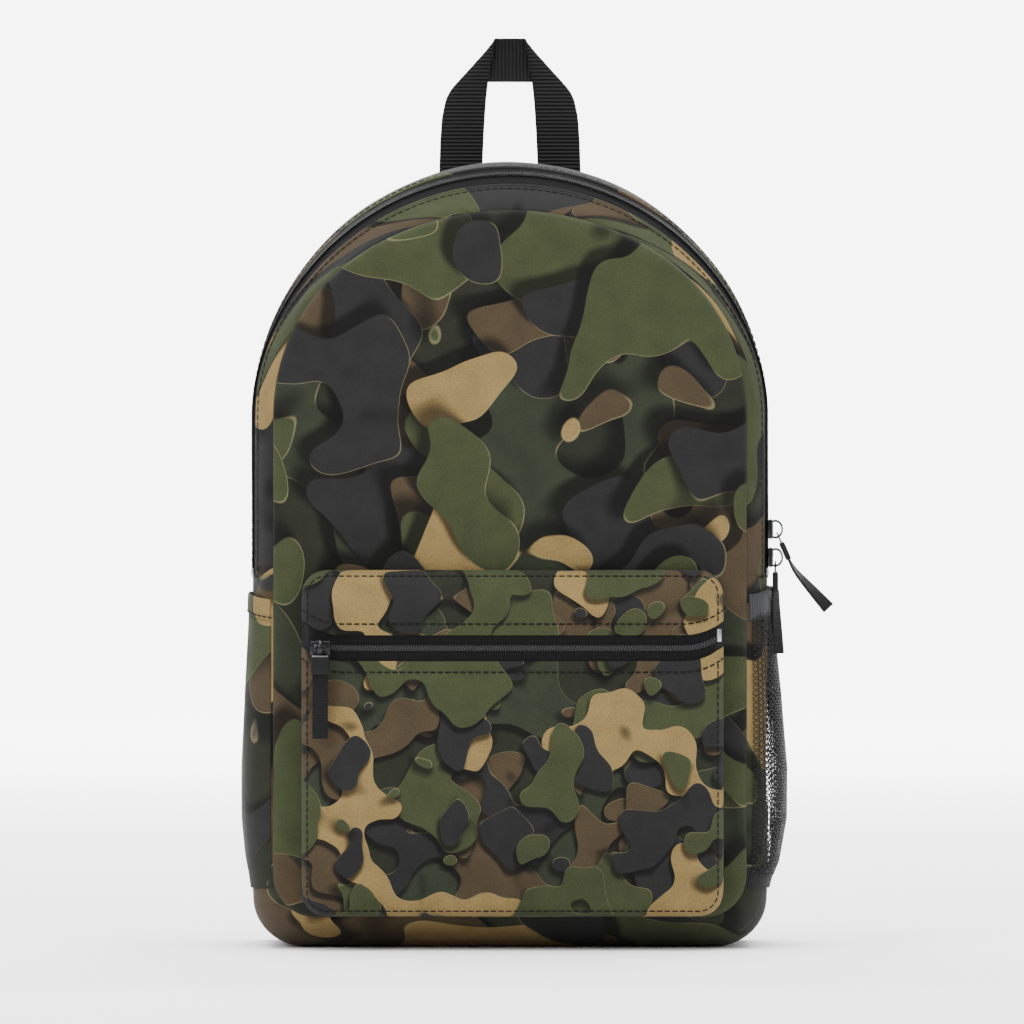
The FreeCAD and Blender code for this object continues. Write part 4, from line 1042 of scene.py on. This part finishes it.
def ring_wire(radius, wire, turn, stretch=(1, 1, 1)):
    bpy.ops.object.select_all(action="DESELECT")
    bpy.ops.mesh.primitive_torus_add(major_radius=radius, minor_radius=wire,
                                     major_segments=40, minor_segments=12)
    ring = bpy.context.object
    ring.data.transform(Matrix.Diagonal((*stretch, 1)) @ turn)
    return ring


SEAT = 1.5 * MM
PLATE = 2.6 * MM
BAIL = SEAT + PLATE + 1.2 * MM
QUARTER_X = Matrix.Rotation(math.radians(90), 4, "X")
QUARTER_Y = Matrix.Rotation(math.radians(90), 4, "Y")


def slider_shape(name, place, arched_across):
    """A zip slider: domed plate with a waist, two side walls and a bail. Zip along Z, outside +X."""
    plate = rounded_bar("plate", PLATE * 0.8, 8.8 * MM, 11.8 * MM, 0.9 * MM, 3)
    boss(plate, (1, 0, 0), 0.8 * MM, 0.5 * MM)
    for vertex in plate.data.vertices:
        vertex.co.y *= 1 - 0.26 * math.exp(-((vertex.co.z + 1 * MM) / (3.2 * MM)) ** 2)
    plate.data.transform(Matrix.Translation((SEAT + PLATE * 0.4, 0, 0)))
    walls = []
    for side in (-1, 1):
        wall = rounded_bar("wall", 1.6 * MM, 1.5 * MM, 10.6 * MM, 0.4 * MM, 2)
        wall.data.transform(Matrix.Translation((SEAT - 0.1 * MM, side * 3.5 * MM, 0)))
        walls.append(wall)
    if arched_across:
        arch = ring_wire(4.3 * MM, 1.05 * MM, QUARTER_X, (1, 1, 1.08))
        arch.data.transform(QUARTER_X @ Matrix.Diagonal((1.05, 1.5, 1, 1)))
    else:
        arch = ring_wire(4 * MM, 0.6 * MM, QUARTER_X, (1, 1, 1.22))
    arch.data.transform(Matrix.Translation((BAIL, 0, 0)))
    for vertex in arch.data.vertices:
        vertex.co.x = max(vertex.co.x, SEAT + 0.4 * MM)
    piece = joined(name, plate, *walls, arch)
    piece.data.materials.clear()
    piece.data.materials.append(ENAMEL)
    piece.data.transform(place)
    return smoothed(piece, 50)


def pull_shapes(prefix, place, drop, lean, wide_link, twist):
    """Wire link, crimp with bright ends, and ribbon, hanging from the origin along -Z."""
    crimp_top = drop + 6 * MM
    if wide_link:
        link = ring_wire(4.4 * MM, 0.5 * MM, QUARTER_Y, (1, 1, 0.86))
    else:
        link = ring_wire(3.5 * MM, 0.5 * MM, QUARTER_Y, (1, 0.8, 1.05))
    link.data.transform(Matrix.Translation((0, 0, -drop - 3.5 * MM)))
    link.name = prefix + "_wire"
    link.data.materials.append(ENAMEL)
    crimp = rounded_bar(prefix + "_clamp", 3.2 * MM, 10.6 * MM, 10.6 * MM, 0.7 * MM, 3)
    crimp.data.transform(Matrix.Translation((0, 0, -crimp_top - 5.5 * MM)))
    crimp.data.materials.append(PLASTIC)
    lip = rounded_bar(prefix + "_lip", 2.6 * MM, 9.6 * MM, 1.1 * MM, 0.35 * MM, 2)
    lip.data.transform(Matrix.Translation((0, 0, -crimp_top - 0.1 * MM)))
    lip.data.materials.append(DULL_STEEL)
    shapes = [(link, "slider_metal", ("_link",)), (crimp, "black_plastic", ("_crimp",)),
              (lip, "bare_steel", ())]
    run = np.linspace(0, 37.4 * MM, 26)
    angles = math.radians(lean) * np.minimum(1, run / (14 * MM))
    line = [np.array((0.0, 0.0, -crimp_top - 10.4 * MM))]
    for before, after, angle in zip(run, run[1:], angles[1:]):
        line.append(line[-1] + (after - before) * np.array((math.sin(angle), 0, -math.cos(angle))))
    line = np.array(line)
    turns = np.radians(np.interp(run, (0, run[-1]), twist))
    outside = np.array([(math.cos(t), -math.sin(t), 0.0) for t in turns])
    ribbon = strap(prefix + "_tail", line, outside, 9 * MM, 1.3 * MM, WEBBING_FINE, edge=0.3)
    shapes.append((ribbon, "black_webbing", ("_ribbon",)))
    for shape, slot, nodes in shapes:
        shape.data.transform(place)
        smoothed(shape, 45)
        belongs(shape, slot, *(prefix + node for node in nodes), body=prefix)


for prefix, tilt, lean, twist in (("upper", 24, 18, (4, 52)), ("lower", 0, 3, (24, 48))):
    low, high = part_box(prefix + "_slider")
    height = (low.z + high.z) / 2
    seat_x, seat_y = HALF - 1 * MM, ZIP_Y + 1.45 * MM
    seat = Matrix.Translation((seat_x, seat_y, height))
    piece = slider_shape(prefix + "_slider_body", seat, False)
    belongs(piece, "slider_metal", prefix + "_slider", body=prefix + "_slider")
    hang = Matrix.Translation((seat_x + BAIL, seat_y, height)) @ Matrix.Rotation(math.radians(-tilt), 4, "Y")
    pull_shapes(prefix + "_pull", hang, 2.6 * MM, lean, False, twist)

low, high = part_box("pocket_slider")
slider_x = (low.x + high.x) / 2
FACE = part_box("pocket_zip_teeth")[1].y
outward = Matrix(((0, 0, 1), (-1, 0, 0), (0, -1, 0))).to_4x4()
piece = slider_shape("pocket_slider_body", Matrix.Translation((slider_x, FACE, teeth_z)) @ outward, True)
belongs(piece, "slider_metal", "pocket_slider", body="pocket_slider")
hang = Matrix.Translation((slider_x, FACE - BAIL - 4 * MM, teeth_z))
hang = hang @ Matrix.Rotation(math.radians(-90), 4, "Z")
pull_shapes("pocket_pull", hang, -1.4 * MM, 0, True, (0, 0))

# ---------------------------------------------------------------- carry handle

handle_low, handle_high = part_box("carry_handle")
HANDLE_Y = (handle_low.y + handle_high.y) / 2
# The legs' edges: heights in mm above the crown, then the distances from the middle.
OUTER_EDGE = ((0, 20, 34, 44, 49, 53, 62, 72, 80), (42.2, 41.6, 40.6, 38.4, 36, 32.4, 24, 15.2, 9.2))
INNER_EDGE = ((0, 20, 40, 54, 62, 72, 80), (16.4, 15.6, 14.4, 13.0, 11.8, 10, 8.2))


def crown_at(x):
    """Height of the body's crown over a point across the body."""
    top = FULL[TOP_POINT]
    heights = FULL[TOP_POINT - CROWN_STEPS:TOP_POINT + CROWN_STEPS + 1]
    return float(np.interp(x, heights[:, 0], heights[:, 2]))


def handle_leg(label, sign):
    """One leg of the handle: upright webbing folded over at its top corner."""
    grid = []
    for t in np.linspace(0, 1, 30):
        row = []
        outer = np.interp(t * 80, *OUTER_EDGE) * MM
        inner = np.interp(t * 80, *INNER_EDGE) * MM
        for share in np.linspace(0, 1, 9):
            x = inner + (outer - inner) * share
            foot = crown_at(x) + 0.4 * MM
            z = foot + (handle_high.z - 0.6 * MM - foot) * t
            cup = 0.9 * MM * (1 - (2 * share - 1) ** 2)
            row.append((sign * x, HANDLE_Y - 0.4 * MM - cup, z))
        grid.append(row)
    grid = np.array(grid)
    leg = cloth("handle_leg_" + label, grid, grid[:, :, (2, 0)], WEBBING, wall=1.5 * MM, centre=(0, 0.3, 0.5))
    return apply(leg, "BEVEL", width=0.3 * MM, segments=2, limit_method="ANGLE", angle_limit=math.radians(60))


for label, sign in SIDES:
    belongs(handle_leg(label, sign), "black_webbing", *(("carry_handle",) if sign < 0 else ()), body="handle")
grid = np.array([[(side * (15.6 - 6.6 * t) * MM,
                   HANDLE_Y + (0.4 + 1.9 * math.sin(math.pi * min(1, t * 1.04)) ** 0.5) * MM,
                   handle_high.z - 25.2 * MM + 25 * MM * t)
                  for side in np.linspace(-1, 1, 13)] for t in np.linspace(0, 1, 16)])
grip = cloth("handle_grip", grid, grid[:, :, (0, 2)], WEBBING, wall=1.5 * MM, centre=(0, 0.3, 0.5))
belongs(grip, "black_webbing", body="handle")
for label, sign in SIDES:
    line = np.array([(sign * 29.3 * MM, y, crown_at(29 * MM) + 0.5 * MM)
                     for y in np.linspace(HANDLE_Y - 4 * MM, REAR + 1 * MM, 6)])
    outside = np.tile((sign * 0.19, 0, 1.0), (len(line), 1))
    belongs(strap("handle_tab_" + label, line, outside, 27 * MM, 1.2 * MM, WEBBING), "black_webbing")

# ---------------------------------------------------------------- back padding and shoulder straps


def cushion(name, node, cover, slot, channels=0):
    """A flat foam pad with a crowned face and sewn channels, sewn down round its edge."""
    box_low, box_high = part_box(node)
    across = np.linspace(-1, 1, 25)
    up = np.linspace(-1, 1, 41)
    thick = box_high.y - box_low.y
    middle = (box_low + box_high) / 2
    half_x = (box_high.x - box_low.x) / 2
    half_z = (box_high.z - box_low.z) / 2
    corner = 12 * MM
    front = []
    rear = []
    for v in up:
        for u in across:
            x = half_x * math.copysign(1 - (1 - abs(u)) ** 1.5, u)
            z = half_z * math.copysign(1 - (1 - abs(v)) ** 1.5, v)
            over_x, over_z = abs(x) - (half_x - corner), abs(z) - (half_z - corner)
            if over_x > 0 and over_z > 0:
                reach = max(over_x, over_z)
                pull = reach / math.hypot(over_x, over_z)
                x -= math.copysign(over_x * (1 - pull), x)
                z -= math.copysign(over_z * (1 - pull), z)
            edge = min(1, (1 - abs(u)) * 5) * min(1, (1 - abs(v)) * 7)
            rise = math.sin(math.pi / 2 * edge) ** 0.6
            if channels:
                place = (z / half_z + 1) / 2 * channels
                seam = round(place)
                rise *= 1 - 0.42 * math.exp(-((place - seam) / 0.09) ** 2) * (0 < seam < channels)
            front.append((middle.x + x, box_low.y + 0.4 * MM, middle.z + z))
            rear.append((middle.x + x, box_low.y + 0.9 * MM + (thick - 0.9 * MM) * rise, middle.z + z))
    count = len(across)
    faces = grid_faces(len(up), count)
    total = len(front)
    rim = list(range(count)) + [r * count + count - 1 for r in range(1, len(up))]
    rim += [(len(up) - 1) * count + c for c in range(count - 2, -1, -1)]
    rim += [r * count for r in range(len(up) - 2, 0, -1)]
    all_faces = [tuple(reversed(face)) for face in faces] + [tuple(v + total for v in face) for face in faces]
    all_faces += [(a, b, b + total, a + total) for a, b in zip(rim, rim[1:] + rim[:1])]
    piece = mesh_piece(name, front + rear, all_faces, cover)
    map_cloth(piece, [(v.co.x, v.co.z) for v in piece.data.vertices])
    facing_out(piece)
    apply(piece, "SUBSURF", levels=1, render_levels=1)
    smoothed(piece)
    belongs(piece, slot, node)


for node, channels in (("back_pad_left", 5), ("back_pad_right", 5), ("back_pad_lumbar", 0)):
    cushion(node + "_foam", node, SPACER, "spacer_mesh", channels)
cushion("strap_yoke_foam", "strap_yoke", WEBBING_FINE, "black_webbing")
cushion("laptop_divider", "laptop_sleeve", LINING, "lining")

STRAP_LOW, STRAP_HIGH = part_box("shoulder_pad_right")
BOW_RADIUS = 216.7 * MM
BOW_Y = -112.4 * MM
BOW_Z = STRAP_HIGH.z - 110 * MM


def strap_pad(label, sign):
    """A curved shoulder strap: foam with a crowned outer face, bound along its edges."""
    rows = []
    edges = {-1: [], 1: []}
    for t in np.linspace(0, 1, 46):
        height = STRAP_HIGH.z - (STRAP_HIGH.z - STRAP_LOW.z) * t
        lift = math.sqrt(BOW_RADIUS ** 2 - (height - BOW_Z) ** 2)
        middle_x = (48 + 37 * t + 5 * math.sin(math.pi * t)) * MM
        half = (30 - 7 * t + 0.6 * math.sin(math.pi * t)) * MM
        normal = np.array((0, lift, height - BOW_Z)) / BOW_RADIUS
        inner = np.array((sign * middle_x, BOW_Y + lift, height))
        taper = min(1, t * 9 + 0.35, (1 - t) * 9 + 0.35)
        section = []
        for angle in np.linspace(0, 2 * math.pi, 20, endpoint=False):
            x = math.copysign(abs(math.cos(angle)) ** 0.75, math.cos(angle)) * half
            y = math.copysign(abs(math.sin(angle)) ** 0.8, math.sin(angle))
            section.append(inner + np.array((x, 0, 0)) + normal * (5.6 * MM + y * 5.4 * MM * taper))
        rows.append(section)
        for side in (-1, 1):
            edges[side].append(inner + np.array((side * half, 0, 0)) + normal * 5.6 * MM)
    grid = np.array(rows)
    count = grid.shape[1]
    faces = grid_faces(len(rows), count, True)
    faces += end_faces(len(rows), count)
    pad = mesh_piece(f"shoulder_strap_{label}", grid.reshape(-1, 3), faces, SPACER)
    map_cloth(pad, [(v.co.x, v.co.z) for v in pad.data.vertices])
    facing_out(pad)
    apply(pad, "SUBSURF", levels=1, render_levels=1)
    smoothed(pad)
    belongs(pad, "spacer_mesh", f"shoulder_pad_{label}")
    for side, line in edges.items():
        outside = np.tile((float(side), 0.0, 0.0), (len(line), 1))
        trim = strap(f"strap_trim_{label}_{'inner' if side < 0 else 'outer'}", np.array(line), outside,
                     5 * MM, 1.6 * MM, BINDING)
        belongs(trim, "black_binding")


def smooth_path(points):
    """Points along a smooth curve that is drawn towards each given point."""
    curve = bpy.data.curves.new("webbing_run", "CURVE")
    curve.dimensions = "3D"
    spline = curve.splines.new("NURBS")
    spline.points.add(len(points) - 1)
    for point, place in zip(spline.points, points):
        point.co = (*place, 1)
    spline.order_u = 3
    spline.use_endpoint_u = True
    spline.resolution_u = 8
    guide = bpy.data.objects.new("webbing_run", curve)
    path = np.array([v.co[:] for v in bpy.data.meshes.new_from_object(guide).vertices])
    bpy.data.objects.remove(guide)
    return path


def adjuster(label, sign):
    """The webbing that runs from its foot on the body up through a ladder lock and back."""
    lock_low, lock_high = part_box("ladder_lock_" + label)
    foot_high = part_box("strap_anchor_" + label)[1]
    lock = (lock_low + lock_high) / 2
    start = Vector((sign * 129.9 * MM, foot_high.y + 1.2 * MM, 62 * MM))
    run = [start, start.lerp(Vector((lock.x, lock_high.y, lock_low.z)), 0.5) + Vector((0, 2 * MM, 0)),
           Vector((lock.x + sign * 3 * MM, lock.y - 1 * MM, lock_low.z - 6 * MM)),
           Vector((lock.x, lock_low.y - 0.4 * MM, lock_low.z + 4 * MM)),
           Vector((lock.x, lock.y - 0.6 * MM, lock_low.z + 9 * MM)),
           Vector((lock.x, lock_high.y + 1.0 * MM, lock.z)),
           Vector((lock.x, lock.y + 0.4 * MM, lock.z + 5 * MM)),
           Vector((lock.x, lock_low.y + 0.2 * MM, lock.z + 6.5 * MM))]
    path = smooth_path(run)
    outside = np.cross(np.tile((1.0, 0.0, 0.0), (len(path), 1)), np.gradient(path, axis=0))
    outside *= np.sign(outside[:, 1:2] + 1e-9)
    piece = strap("adjuster_strap_" + label, path, outside, 24.6 * MM, 1.5 * MM, WEBBING)
    belongs(piece, "black_webbing", "adjuster_webbing_" + label)


for label, sign in SIDES:
    strap_pad(label, sign)
    softened("ladder_lock_" + label, "strap_lock_" + label, 0.8 * MM, PLASTIC, "pack", 3)
    softened("strap_anchor_" + label, "strap_foot_" + label, 0.6 * MM, BINDING, "pack", 2)
    adjuster(label, sign)

# ---------------------------------------------------------------- camera, floor and light

bpy.ops.object.select_all(action="DESELECT")
bpy.ops.mesh.primitive_plane_add(size=1)
floor = bpy.context.object
floor.name = "floor"
floor.data.transform(Matrix.Diagonal((24, 18, 1, 1)))
chosen_only(floor)
bpy.ops.object.mode_set(mode="EDIT")
bpy.ops.mesh.select_mode(type="EDGE")
bpy.ops.mesh.select_all(action="DESELECT")
bpy.ops.object.mode_set(mode="OBJECT")
for edge in floor.data.edges:
    edge.select = all(floor.data.vertices[v].co.y > 0 for v in edge.vertices)
bpy.ops.object.mode_set(mode="EDIT")
bpy.ops.mesh.extrude_edges_move(TRANSFORM_OT_translate={"value": (0, 0, 6)})
bpy.ops.object.mode_set(mode="OBJECT")
apply(floor, "BEVEL", width=1.6, segments=24, limit_method="ANGLE")
smoothed(floor)
paper = Finish("pale_floor", rgb(246, 246, 246), Roughness=0.85, Specular_IOR_Level=0.2)
floor.data.materials.append(paper.material)


def softbox(name, place, aim, size, power):
    light = bpy.data.lights.new(name, "AREA")
    light.shape = "RECTANGLE"
    light.size, light.size_y = size
    light.energy = power
    lamp = bpy.data.objects.new(name, light)
    bpy.context.scene.collection.objects.link(lamp)
    lamp.location = place
    lamp.rotation_euler = (Vector(aim) - Vector(place)).to_track_quat("-Z", "Y").to_euler()
    return lamp


softbox("overhead", (0, -0.3, 2.6), (0, 0, 0.2), (3.0, 3.0), 190)
softbox("front_left", (-1.6, -2.3, 1.7), (0, 0, 0.25), (1.2, 1.2), 60)
softbox("front_right", (1.9, -2.0, 1.0), (0, 0, 0.25), (1.2, 1.6), 22)
softbox("backdrop", (0, 5.0, 4.5), (0, 7.0, 0.0), (8.0, 3.0), 2200)

world = bpy.data.worlds.new("studio")
world.use_nodes = True
world.node_tree.nodes["Background"].inputs["Color"].default_value = (1, 1, 1, 1)
world.node_tree.nodes["Background"].inputs["Strength"].default_value = 0.75
bpy.context.scene.world = world

VIEW_DISTANCE = 6.0
VIEW_WIDTH = 0.599
lens = bpy.data.cameras.new("camera")
lens.lens = lens.sensor_width * (VIEW_DISTANCE + ZIP_Y) / VIEW_WIDTH
camera = bpy.data.objects.new("camera", lens)
bpy.context.scene.collection.objects.link(camera)
camera.location = (0.0012, -VIEW_DISTANCE, 0.255)
camera.rotation_euler = (math.radians(90), 0, 0)
bpy.context.scene.camera = camera
